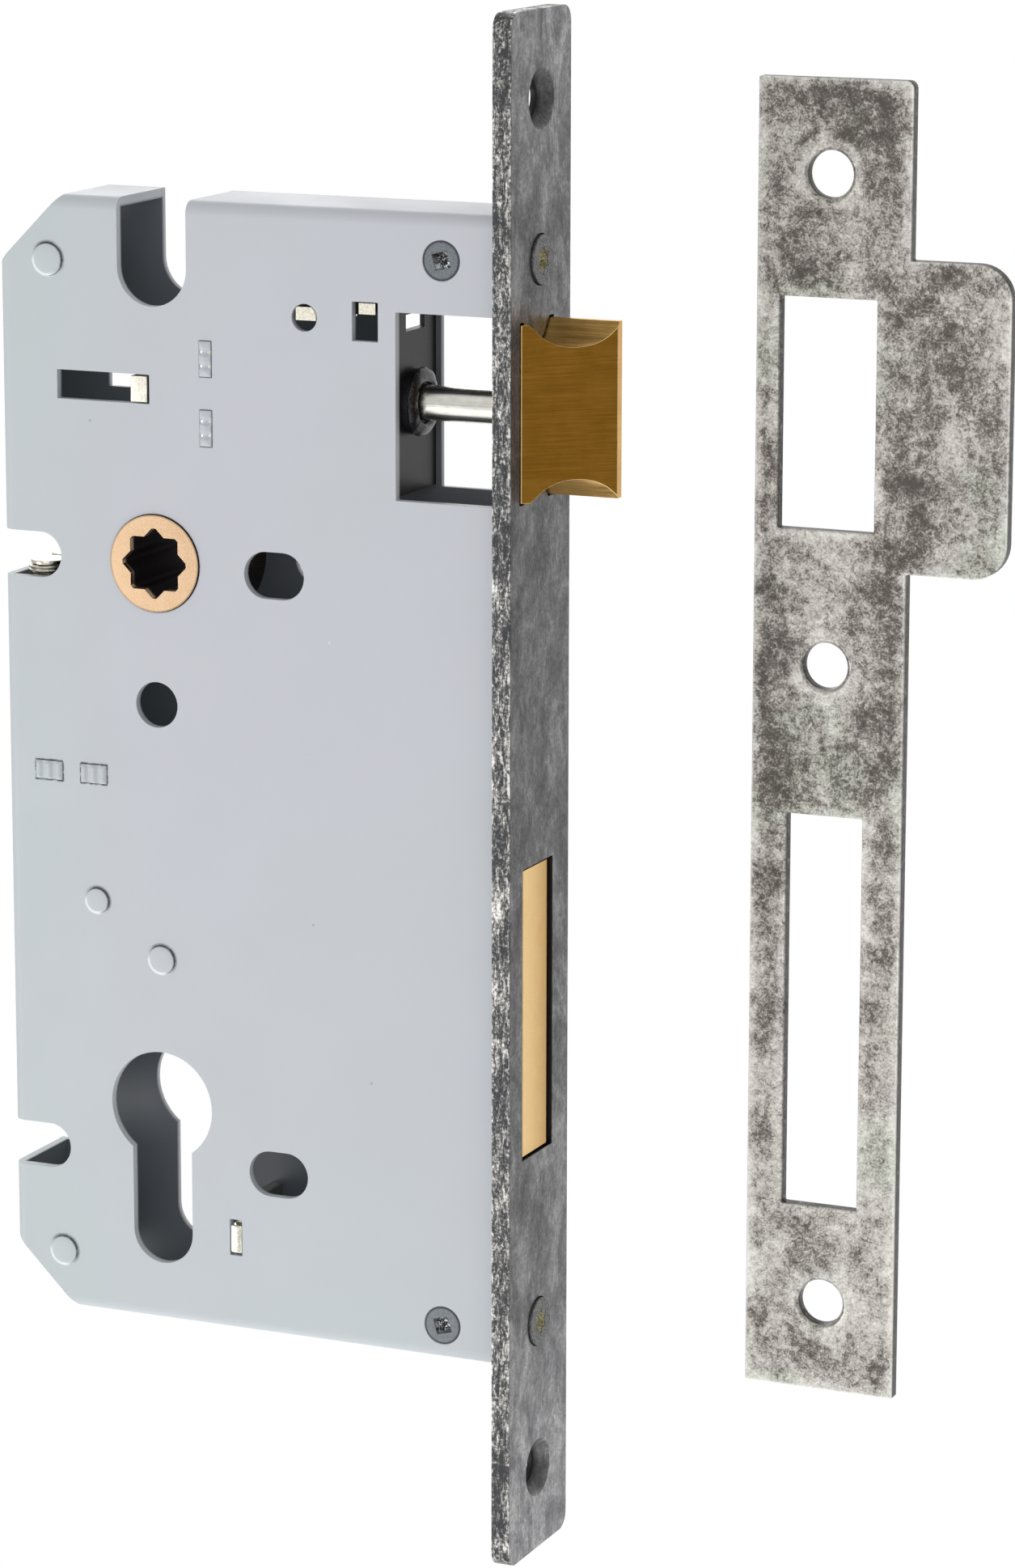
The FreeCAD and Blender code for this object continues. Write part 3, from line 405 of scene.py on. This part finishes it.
def latch_metal():
    m, t, s = material("bronze_latch")
    p = t.mm()
    n = t.normal()
    bevel = t.span(t.vec("DOT_PRODUCT", n, (0.6727, -0.7399, 0.0)), 0.965, 0.990)
    line = t.noise(t.vec("MULTIPLY", p, (0.10, 0.10, 5.0)), 1.0, 4.0, 0.7)
    drift = t.noise(p, 0.25, 3.0, 0.6)
    f = t.math("ADD", t.math("MULTIPLY", drift, 0.4), t.math("MULTIPLY", line, 0.6))
    # the bevel face takes a darker copy of the latch brass as painted shade; the other faces keep the brighter gold
    gold = t.mix(t.span(f, 0.35, 0.65), (0.66, 0.385, 0.105), (0.84, 0.53, 0.185))
    bronze = t.mix(t.span(f, 0.35, 0.65), (0.350, 0.163, 0.018), (0.435, 0.215, 0.032))
    base = t.mix(bevel, gold, bronze)
    facing = t.vec("DOT_PRODUCT", n, (0.6727, -0.7399, 0.0))
    # a pale painted highlight along the rounded edge beside the bevel
    arris_highlight = t.math("MULTIPLY", t.span(facing, 0.76, 0.86), t.math("SUBTRACT", 1.0, bevel))
    base = t.mix(t.math("MULTIPLY", arris_highlight, 0.8), base, (1.0, 0.82, 0.46))
    cell = t.voronoi(p, 0.16)
    fleck = t.math("MULTIPLY", t.math("LESS_THAN", cell.outputs["Distance"], 0.030), t.math("GREATER_THAN", t.split(cell.outputs["Color"])[0], 0.70))
    base = t.mix(t.math("MULTIPLY", t.math("MULTIPLY", fleck, bevel), 0.8), base, (0.95, 0.75, 0.45))
    t.put(s.inputs["Base Color"], base)
    s.inputs["Metallic"].default_value = 1.0
    t.put(s.inputs["Roughness"], t.span(line, 0.3, 0.7, 0.30, 0.44))
    t.put(s.inputs["Normal"], t.bump(line, 0.010))
    return m


def hub_metal():
    """Satin copper-gold; painted shade makes the star socket dark just inside its mouth, and a band of painted shade
    runs round the outer edge of the face.
    """
    m, t, s = material("copper_hub")
    p = t.mm()
    x, y, z = t.split(p)
    drift = t.noise(p, 0.5, 3.0, 0.55)
    line = t.noise(p, 3.4, 3.0, 0.6)
    f = t.math("ADD", t.math("MULTIPLY", drift, 0.45), t.math("MULTIPLY", line, 0.55))
    gold = t.mix(t.span(f, 0.36, 0.64), (0.515, 0.350, 0.213), (0.565, 0.398, 0.254))
    r_ = t.outside_disc((x, z), -57.0, 33.0, 0.0)
    socket_shade = t.math("MULTIPLY", t.span(y, -7.75, -6.9), t.span(r_, 5.75, 5.45))
    rim_shade = t.math("MULTIPLY", t.span(r_, 7.12, 7.34), t.span(y, -8.4, -8.2, 0.0, 1.0))
    base = t.mix(socket_shade, gold, (0.010, 0.006, 0.009))
    t.put(s.inputs["Base Color"], t.mix(t.math("MULTIPLY", rim_shade, 0.85), base, (0.06, 0.045, 0.04)))
    t.put(s.inputs["Metallic"], t.math("SUBTRACT", 1.0, socket_shade))
    t.put(s.inputs["Specular IOR Level"], t.mixf(socket_shade, 0.5, 0.05))
    t.put(s.inputs["Roughness"], t.math("ADD", t.span(line, 0.3, 0.7, 0.22, 0.30), t.math("MULTIPLY", socket_shade, 0.45)))
    t.put(s.inputs["Normal"], t.bump(line, 0.0015))
    return m


def bolt_metal():
    m, t, s = material("gold_bolt")
    p = t.mm()
    x, y, z = t.split(p)
    drift = t.noise(p, 0.35, 3.0, 0.55)
    line = t.noise(p, 3.4, 3.0, 0.6)
    f = t.math("ADD", t.math("MULTIPLY", drift, 0.5), t.math("MULTIPLY", line, 0.5))
    # the end face runs from a painted highlight on its near side to painted shade on its far side
    near = t.mix(t.span(f, 0.36, 0.64), (0.90, 0.62, 0.27), (1.0, 0.72, 0.35))
    far = t.mix(t.span(f, 0.36, 0.64), (0.50, 0.285, 0.078), (0.62, 0.37, 0.115))
    end = t.mix(t.span(t.math("ADD", y, t.math("MULTIPLY", t.math("SUBTRACT", drift, 0.5), 8.0)), -5.5, 6.5), near, far)
    # the flanks are plain; only the end is polished by use
    flank = t.mix(t.span(f, 0.30, 0.70), (0.66, 0.425, 0.165), (0.74, 0.485, 0.195))
    nx, ny, nz = t.split(t.normal())
    t.put(s.inputs["Base Color"], t.mix(t.span(nx, 0.60, 0.90), flank, end))
    s.inputs["Metallic"].default_value = 1.0
    t.put(s.inputs["Roughness"], t.span(line, 0.3, 0.7, 0.36, 0.48))
    t.put(s.inputs["Normal"], t.bump(line, 0.004))
    return m


def blacked_steel():
    """Blackened plate whose tab ends, flush with the case, are bare nickel."""
    m, t, s = material("dark_steel")
    p = t.mm()
    x, y, z = t.split(p)
    line = t.noise(p, 3.0, 3.0, 0.6)
    nx, ny, nz = t.split(t.normal())
    end = t.math("MULTIPLY", t.span(t.math("ABSOLUTE", y), 7.0, 7.3), t.span(t.math("ABSOLUTE", ny), 0.5, 0.8))
    dark = t.mix(t.span(line, 0.36, 0.64), (0.010, 0.010, 0.012), (0.020, 0.018, 0.021))
    pale = t.mix(t.span(line, 0.36, 0.64), (0.62, 0.58, 0.48), (0.80, 0.77, 0.66))
    t.put(s.inputs["Base Color"], t.mix(end, dark, pale))
    t.put(s.inputs["Metallic"], t.mixf(end, 0.2, 0.9))
    t.put(s.inputs["Specular IOR Level"], t.mixf(end, 0.28, 0.5))
    s.inputs["Roughness"].default_value = 0.36
    t.put(s.inputs["Normal"], t.bump(line, 0.008))
    return m


def screw_pewter(axes, head, floor_x):
    """Dark head; the star recess is bitten bare metal, painted pale with speckled painted glints."""
    m, t, s = material("pewter_screw")
    p = t.mm()
    x, y, z = t.split(p)
    speck = t.noise(p, 3.6, 4.0, 0.72)
    v = t.math("ADD", 0.5, t.math("MULTIPLY", t.math("SUBTRACT", speck, 0.5), 1.6))
    d_ = None
    for ay, az in axes:
        k = t.outside_disc((y, z), ay, az, 0.0)
        d_ = k if d_ is None else t.math("MINIMUM", d_, k)
    # the star recess: bitten bare metal with speckled painted glints
    star = t.math("MULTIPLY", t.span(x, head - 0.05, head - 0.18), t.span(d_, 2.42, 2.30))
    dark = t.ramp(v, (0.30, (0.055, 0.055, 0.058)), (0.55, (0.13, 0.13, 0.128)), (0.8, (0.28, 0.275, 0.26)))
    pale = t.ramp(v, (0.26, (0.06, 0.055, 0.045)), (0.40, (0.45, 0.43, 0.32)), (0.54, (0.90, 0.87, 0.68)))
    t.put(s.inputs["Base Color"], t.mix(star, dark, pale))
    s.inputs["Metallic"].default_value = 0.85
    t.put(s.inputs["Roughness"], t.span(v, 0.3, 0.7, 0.46, 0.32))
    t.put(s.inputs["Normal"], t.bump(speck, 0.016))
    return m


def screw_gunmetal(axes):
    """Smooth dark head with a ring of painted shade round its rim, and the square recess painted dark with scattered
    painted glints.
    """
    m, t, s = material("gunmetal_screw")
    p = t.mm()
    x, y, z = t.split(p)
    fine = t.noise(p, 2.4, 3.0, 0.6)
    glint = t.noise(p, 1.9, 3.0, 0.7, 1.0)
    d_ = None
    for ax, az in axes:
        k = t.outside_disc((x, z), ax, az, 0.0)
        d_ = k if d_ is None else t.math("MINIMUM", d_, k)
    nx, ny, nz = t.split(t.normal())
    # the square recess: painted shade with scattered painted glints
    pit = t.math("MULTIPLY", t.span(d_, 2.05, 1.85), t.span(y, -7.95, -7.80))
    base = t.mix(t.span(fine, 0.36, 0.64), (0.155, 0.170, 0.182), (0.195, 0.212, 0.226))
    # a ring of painted shade round the rim of the head
    base = t.mix(t.math("MULTIPLY", t.span(d_, 2.55, 2.78), 0.75), base, (0.030, 0.033, 0.037))
    spark = t.ramp(t.math("ADD", glint, t.math("MULTIPLY", t.math("ADD", nx, nz), 0.10)), (0.46, (0.018, 0.019, 0.021)), (0.55, (0.22, 0.23, 0.24)), (0.62, (0.80, 0.82, 0.82)))
    t.put(s.inputs["Base Color"], t.mix(pit, base, spark))
    s.inputs["Metallic"].default_value = 0.85
    s.inputs["Roughness"].default_value = 0.33
    t.put(s.inputs["Normal"], t.bump(fine, 0.005))
    return m


PAINT = case_paint()
STRIKE = strike_metal()
FACE = face_metal()
LATCH = latch_metal()
GOLD = bolt_metal()
COPPER = hub_metal()
NICKEL = metal("nickel", (0.80, 0.78, 0.68), (0.66, 0.63, 0.54), 0.20, None, 0.004)
SPRING = metal("spring_wire", (0.80, 0.77, 0.68), (0.60, 0.56, 0.47), 0.22, None, 0.003)
side_at = [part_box("side_screw_" + k) for k in ("upper", "lower")]
GUNMETAL = screw_gunmetal([((a[0] + b[0]) * 500, (a[2] + b[2]) * 500) for a, b in side_at])
screw_at = [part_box("faceplate_screw_" + k) for k in ("upper", "lower")]
PEWTER = screw_pewter([((a[1] + b[1]) * 500, (a[2] + b[2]) * 500) for a, b in screw_at], max(b[0] for a, b in screw_at) * 1000, 2.2)
BLACK = blacked_steel()
ROD = metal("rod_nickel", (0.86, 0.85, 0.78), (0.74, 0.72, 0.65), 0.24, "x", 0.003, 1.0, 0.8)
ZINC = metal("zinc_plate", (0.55, 0.54, 0.52), (0.40, 0.39, 0.37), 0.36, None, 0.006)
FINISH = {
    "case_paint": PAINT, "painted_post": PAINT, "aged_nickel": STRIKE, "pewter_plate": FACE, "bronze_latch": LATCH,
    "gold_bolt": GOLD, "copper_hub": COPPER, "nickel": NICKEL, "spring_wire": SPRING, "gunmetal_screw": GUNMETAL,
    "pewter_screw": PEWTER, "dark_steel": BLACK, "zinc_plate": ZINC,
}


# ------------------------------------------------------------------ clean normals and small edge radii on the CAD nodes
def normals_group():
    g = bpy.data.node_groups.new("clean_normals", "GeometryNodeTree")
    g.interface.new_socket("Geometry", in_out="INPUT", socket_type="NodeSocketGeometry")
    g.interface.new_socket("Geometry", in_out="OUTPUT", socket_type="NodeSocketGeometry")
    n, l = g.nodes, g.links
    a, z = n.new("NodeGroupInput"), n.new("NodeGroupOutput")
    drop = n.new("GeometryNodeRemoveAttribute")
    drop.inputs["Name"].default_value = "custom_normal"
    face = n.new("GeometryNodeSetShadeSmooth")
    face.domain = "FACE"
    edge = n.new("GeometryNodeSetShadeSmooth")
    edge.domain = "EDGE"
    ang = n.new("GeometryNodeInputMeshEdgeAngle")
    less = n.new("FunctionNodeCompare")
    less.data_type = "FLOAT"
    less.operation = "LESS_THAN"
    less.inputs[1].default_value = math.radians(34)
    l.new(a.outputs[0], drop.inputs["Geometry"])
    l.new(drop.outputs[0], face.inputs["Geometry"])
    l.new(face.outputs[0], edge.inputs["Geometry"])
    l.new(ang.outputs["Unsigned Angle"], less.inputs[0])
    l.new(less.outputs[0], edge.inputs["Shade Smooth"])
    l.new(edge.outputs[0], z.inputs[0])
    return g


NORMALS = normals_group()


def soften(o, width_mm, segments=2, dissolve=True):
    w = o.modifiers.new("join", "WELD")
    w.merge_threshold = 1e-6
    if dissolve:
        d = o.modifiers.new("flats", "DECIMATE")
        d.decimate_type = "DISSOLVE"
        d.angle_limit = math.radians(0.4)
    if width_mm:
        b = o.modifiers.new("edges", "BEVEL")
        b.width = width_mm * MM
        b.segments = segments
        b.limit_method = "ANGLE"
        b.angle_limit = math.radians(36)
        b.use_clamp_overlap = True
        b.miter_outer = "MITER_SHARP"
    g = o.modifiers.new("normals", "NODES")
    g.node_group = NORMALS
    if width_mm:
        wn = o.modifiers.new("weight", "WEIGHTED_NORMAL")
        wn.keep_sharp = True
        wn.weight = 60


SLOT = {s["node"]: s["material_slot"] for s in frame["record"]["subparts"]}
EDGE = {
    "case_body": 0.16, "case_cover": 0.16, "faceplate": 0.35, "strike_plate": 0.22, "latch_head": 0.30, "deadbolt_head": 0.55,
    "follower_hub": 0.14, "side_screw_upper": 0.12, "side_screw_lower": 0.12, "faceplate_screw_upper": 0.12,
    "faceplate_screw_lower": 0.12, "latch_rod": 0.12, "latch_crosshead": 0.35, "latch_guide_plate": 0.25,
    "latch_rear_bracket": 0.15, "spring_seat": 0.15, "spring_saddle": 0.15, "lower_bridge": 0.3, "throw_lever": 0.15,
    "tumbler": 0.15, "deadbolt_tail": 0.15,
}
for name, o in nodes.items():
    o.data.materials.clear()
    o.data.materials.append(ROD if name == "latch_rod" else FINISH[SLOT[name]])
    soften(o, EDGE.get(name, 0.08))


# ------------------------------------------------------------------ pieces made here
def piece(name, bm, mat, body):
    me = bpy.data.meshes.new(name)
    bmesh.ops.recalc_face_normals(bm, faces=bm.faces)
    bm.to_mesh(me)
    bm.free()
    o = bpy.data.objects.new(name, me)
    scene.collection.objects.link(o)
    me.materials.append(mat)
    g = o.modifiers.new("normals", "NODES")
    g.node_group = NORMALS
    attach(o, body)
    return o


def revolve(bm, profile, centre, axis="y", seg=48, wobble=None):
    """profile: (radius, along) pairs in mm, closed on the axis at both ends."""
    rings = []
    for r, a in profile:
        if r < 1e-6:
            p = Vector(centre)
            p[{"x": 0, "y": 1, "z": 2}[axis]] += a
            rings.append([bm.verts.new(p * MM)])
            continue
        ring = []
        for k in range(seg):
            th = 2 * math.pi * k / seg
            rr = r * (1 + (wobble(th, a) if wobble else 0))
            c, s_ = rr * math.cos(th), rr * math.sin(th)
            off = {"x": (a, c, s_), "y": (c, a, s_), "z": (c, s_, a)}[axis]
            ring.append(bm.verts.new((Vector(centre) + Vector(off)) * MM))
        rings.append(ring)
    for a, b in zip(rings, rings[1:]):
        n = max(len(a), len(b))
        for k in range(n):
            j = (k + 1) % n
            q = [a[k % len(a)], a[j % len(a)], b[j % len(b)], b[k % len(b)]]
            q = [v for i, v in enumerate(q) if v not in q[:i]]
            if len(q) > 2:
                bm.faces.new(q)


def coil(name, node, axis, lo, hi, ca, cb, radius, wire, turns, dead=1.5, per_turn=32, ring=10):
    """Compression spring with closed, ground ends between lo and hi."""
    bm = bmesh.new()
    total = turns + 2 * dead
    n = int(total * per_turn)
    close = 2.04 * wire
    span = (hi - lo) - 2 * wire
    body = span - 2 * dead * close
    pts = []
    for i in range(n + 1):
        t = i / n * total
        if t < dead:
            h = t * close
        elif t > total - dead:
            h = span - (total - t) * close
        else:
            u = (t - dead) / turns
            h = dead * close + u * body
        th = 2 * math.pi * t
        pts.append((radius * math.cos(th), radius * math.sin(th), lo + wire + h))
    P = np.array(pts)
    T = np.gradient(P, axis=0)
    T /= np.linalg.norm(T, axis=1)[:, None]
    rings = []
    for q, tt in zip(P, T):
        out = np.array([q[0], q[1], 0.0])
        out /= np.linalg.norm(out)
        up = np.cross(tt, out)
        row = []
        for k in range(ring):
            a = 2 * math.pi * k / ring
            v = q + wire * (math.cos(a) * out + math.sin(a) * up)
            v[2] = min(max(v[2], lo + 0.18 * wire), hi - 0.18 * wire)
            if axis == "z":
                w = Vector((ca + v[0], cb + v[1], v[2]))
            else:
                w = Vector((v[2], ca + v[0], cb + v[1]))
            row.append(bm.verts.new(w * MM))
        rings.append(row)
    for a, b in zip(rings, rings[1:]):
        for k in range(ring):
            j = (k + 1) % ring
            bm.faces.new((a[k], a[j], b[j], b[k]))
    bm.faces.new(rings[0])
    bm.faces.new(rings[-1][::-1])
    o = piece(name, bm, SPRING, "case")
    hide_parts(node)
    return o


latch_coil = coil("latch_spring_coil", "latch_spring", "x", -47.15, -23.0, -0.9, 59.1, 3.9, 0.45, 8.0)
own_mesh(latch_coil)
for side, yy in (("near", -3.35), ("far", 3.35)):
    c = coil("return_coil_" + side, "return_spring_" + side, "z", 1.0, 31.0, -77.7, yy, 2.8, 0.27, 21.0)
    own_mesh(c)

# the tumbler's leaf spring, which in the lock gives upwards as the tumbler lifts; here a fixed bent strip
bm = bmesh.new()
leaf = [(-80.0, -2.02), (-71.8, -2.02), (-61.2, -10.98), (-58.4, -10.5), (-58.3, -10.85), (-61.35, -11.4), (-72.0, -2.42), (-80.0, -2.42)]
ends = [[bm.verts.new(Vector((a, b, c)) * MM) for a, c in leaf] for b in (-4.9, -2.9)]
bm.faces.new(ends[0])
bm.faces.new(ends[1][::-1])
for k in range(len(leaf)):
    j = (k + 1) % len(leaf)
    bm.faces.new((ends[0][k], ends[0][j], ends[1][j], ends[1][k]))
leaf_spring = piece("tumbler_leaf_spring", bm, SPRING, "case")
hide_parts("tumbler_spring")
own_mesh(leaf_spring)

# riveted post ends: low domed heads standing just proud of both plates
for tag, x, z, r in (("rear_upper", -74.6, 78.2, 2.45), ("rear_lower", -74.5, -77.3, 2.3), ("tumbler", -67.7, -20.4, 1.98), ("lever", -56.7, -28.7, 2.22)):
    for face, sgn, y0 in (("near", -1, -8.0), ("far", 1, 8.0)):
        bm = bmesh.new()
        prof = [(0, 0.44), (r * 0.35, 0.435), (r * 0.6, 0.42), (r * 0.78, 0.39), (r * 0.9, 0.34), (r * 0.97, 0.27), (r, 0.18), (r, -0.3), (0, -0.3)]
        revolve(bm, [(a, y * sgn) for a, y in prof], (x, y0, z))
        piece("rivet_%s_%s" % (tag, face), bm, PAINT, "case")


def stake(name, x0, x1, z0, z1, along, y0, sgn, soft=0.5):
    """Tab end standing 0.3 mm proud, with two chisel grooves across it."""
    bm = bmesh.new()
    n, m_ = 60, 24
    u0, u1, v0, v1 = (z0, z1, x0, x1) if along == "z" else (x0, x1, z0, z1)
    L, W = u1 - u0, v1 - v0
    grid = []
    for i in range(n + 1):
        row = []
        for j in range(m_ + 1):
            a, b = i / n, j / m_
            u, v = u0 + a * L, v0 + b * W
            # distance to the rim, for the rounded edge
            e = min(a * L, (1 - a) * L, b * W, (1 - b) * W)
            h = 0.50 * min(1.0, (e / soft)) ** 0.5
            for c in (0.31, 0.69):
                h -= 0.40 * math.exp(-(abs((a - c) * L) / 0.46) ** 2.6) * min(1.0, e / 0.35)
            h += 0.06 * math.exp(-((a - 0.5) * L / 0.9) ** 2)
            h += 0.03 * noise.noise(Vector((u * 1.3, v * 1.3, x0)))
            # cushion the corners inwards
            pu = 0.0 if 0 < i < n else 1.0
            pv = 0.0 if 0 < j < m_ else 1.0
            if pu and pv:
                u += 0.35 * (1 if i == 0 else -1)
                v += 0.35 * (1 if j == 0 else -1)
            h = h if e > 1e-6 else -0.25
            row.append(bm.verts.new(Vector((v, y0 + sgn * h, u) if along == "z" else (u, y0 + sgn * h, v)) * MM))
        grid.append(row)
    for i in range(n):
        for j in range(m_):
            bm.faces.new((grid[i][j], grid[i + 1][j], grid[i + 1][j + 1], grid[i][j + 1]))
    rim = [grid[i][0] for i in range(n + 1)] + [grid[n][j] for j in range(1, m_ + 1)] + [grid[i][m_] for i in range(n - 1, -1, -1)] + [grid[0][j] for j in range(m_ - 1, 0, -1)]
    bm.faces.new(rim)
    return piece(name, bm, PAINT, "case")


for face, sgn, y0 in (("near", -1, -8.0), ("far", 1, 8.0)):
    stake("stake_bracket_upper_" + face, -49.15, -47.15, 61.8, 67.25, "z", y0, sgn, 0.95)
    stake("stake_bracket_lower_" + face, -49.15, -47.15, 51.3, 56.85, "z", y0, sgn, 0.95)
    stake("stake_seat_rear_" + face, -78.0, -73.4, -2.0, 1.0, "x", y0, sgn)
    stake("stake_seat_front_" + face, -70.2, -65.75, -2.0, 1.0, "x", y0, sgn)

# upset rim where the guide boss was swaged round the rod
bm = bmesh.new()


def lump(th, a):
    return 0.07 * noise.noise(Vector((math.cos(th) * 1.6, math.sin(th) * 1.6, a * 1.5))) + 0.035 * noise.noise(Vector((math.cos(th) * 5, math.sin(th) * 5, a * 4)))


ring_prof = [(3.2, 0.0), (4.95, 0.0), (5.05, 0.35), (4.85, 0.75), (4.3, 1.05), (3.6, 1.15), (3.15, 0.9), (3.2, 0.0)]
rings = []
for r, a in ring_prof[:-1]:
    row = []
    for k in range(72):
        th = 2 * math.pi * k / 72
        rr = r * (1 + lump(th, a))
        row.append(bm.verts.new(Vector((-16.0 + a * (1 + 2.0 * lump(th + 2, a)), -0.9 + rr * math.cos(th), 59.1 + rr * math.sin(th))) * MM))
    rings.append(row)
for a, b in zip(rings, rings[1:] + rings[:1]):
    for k in range(72):
        j = (k + 1) % 72
        bm.faces.new((a[k], a[j], b[j], b[k]))
BOSS = metal("boss_black", (0.060, 0.056, 0.062), (0.020, 0.019, 0.022), 0.20, None, 0.05, 0.6, 1.4)
piece("guide_boss_rim", bm, BOSS, "case")


# ------------------------------------------------------------------ floor, world and lights
bm = bmesh.new()
bmesh.ops.create_circle(bm, cap_ends=True, radius=1.3, segments=96, matrix=Matrix.Translation((0, 0, -0.62)))
me = bpy.data.meshes.new("floor")
bm.to_mesh(me)
bm.free()
floor = bpy.data.objects.new("floor", me)
scene.collection.objects.link(floor)
fm, ft, fs = material("floor_white")
fs.inputs["Base Color"].default_value = (0.92, 0.92, 0.92, 1)
fs.inputs["Roughness"].default_value = 0.9
fs.inputs["Emission Color"].default_value = (1, 1, 1, 1)
fs.inputs["Emission Strength"].default_value = 0.45
me.materials.append(fm)

world = bpy.data.worlds.new("studio")
scene.world = world
world.use_nodes = True
w = Tree(world.node_tree)
wo = w.new("ShaderNodeOutputWorld")
d = w.new("ShaderNodeTexCoord").outputs["Generated"]


def glow(direction, inner, outer, power):
    v = Vector(direction).normalized()
    return w.span(w.vec("DOT_PRODUCT", d, tuple(v)), outer, inner, 0.0, power)


level = w.math("ADD", 0.34, glow((-0.35, -0.90, -0.10), 0.98, -0.10, 0.26))
level = w.math("ADD", level, glow((0.0, 0.0, 1.0), 0.9, 0.1, 0.30))
level = w.math("ADD", level, glow((0.36, 0.92, -0.15), 0.99, 0.45, 0.62))
level = w.math("ADD", level, glow((-0.75, 0.55, 0.35), 0.97, 0.30, 0.25))
bg = w.new("ShaderNodeBackground")
w.put(bg.inputs["Color"], (1.0, 1.0, 1.0))
w.put(bg.inputs["Strength"], level)
white = w.new("ShaderNodeBackground")
white.inputs["Color"].default_value = (1, 1, 1, 1)
white.inputs["Strength"].default_value = 1.0
lp = w.new("ShaderNodeLightPath")
ms = w.new("ShaderNodeMixShader")
w.put(ms.inputs[0], lp.outputs["Is Camera Ray"])
w.t.links.new(bg.outputs[0], ms.inputs[1])
w.t.links.new(white.outputs[0], ms.inputs[2])
w.t.links.new(ms.outputs[0], wo.inputs[0])


def area(name, at, size, power, target=(0, 0, 0)):
    ld = bpy.data.lights.new(name, "AREA")
    ld.shape = "RECTANGLE"
    ld.size, ld.size_y = size
    ld.energy = power
    o = bpy.data.objects.new(name, ld)
    o.location = at
    o.rotation_mode = "QUATERNION"
    o.rotation_quaternion = (Vector(target) - Vector(at)).to_track_quat("-Z", "Y")
    o.visible_camera = False
    scene.collection.objects.link(o)
    return o


area("key", (-1.00, -1.05, -0.45), (0.7, 0.7), 4.75)
area("front", (0.15, -1.5, 0.15), (1.1, 0.9), 2.6)
area("rear", (-0.9, 1.1, 0.7), (0.9, 0.9), 5.0)
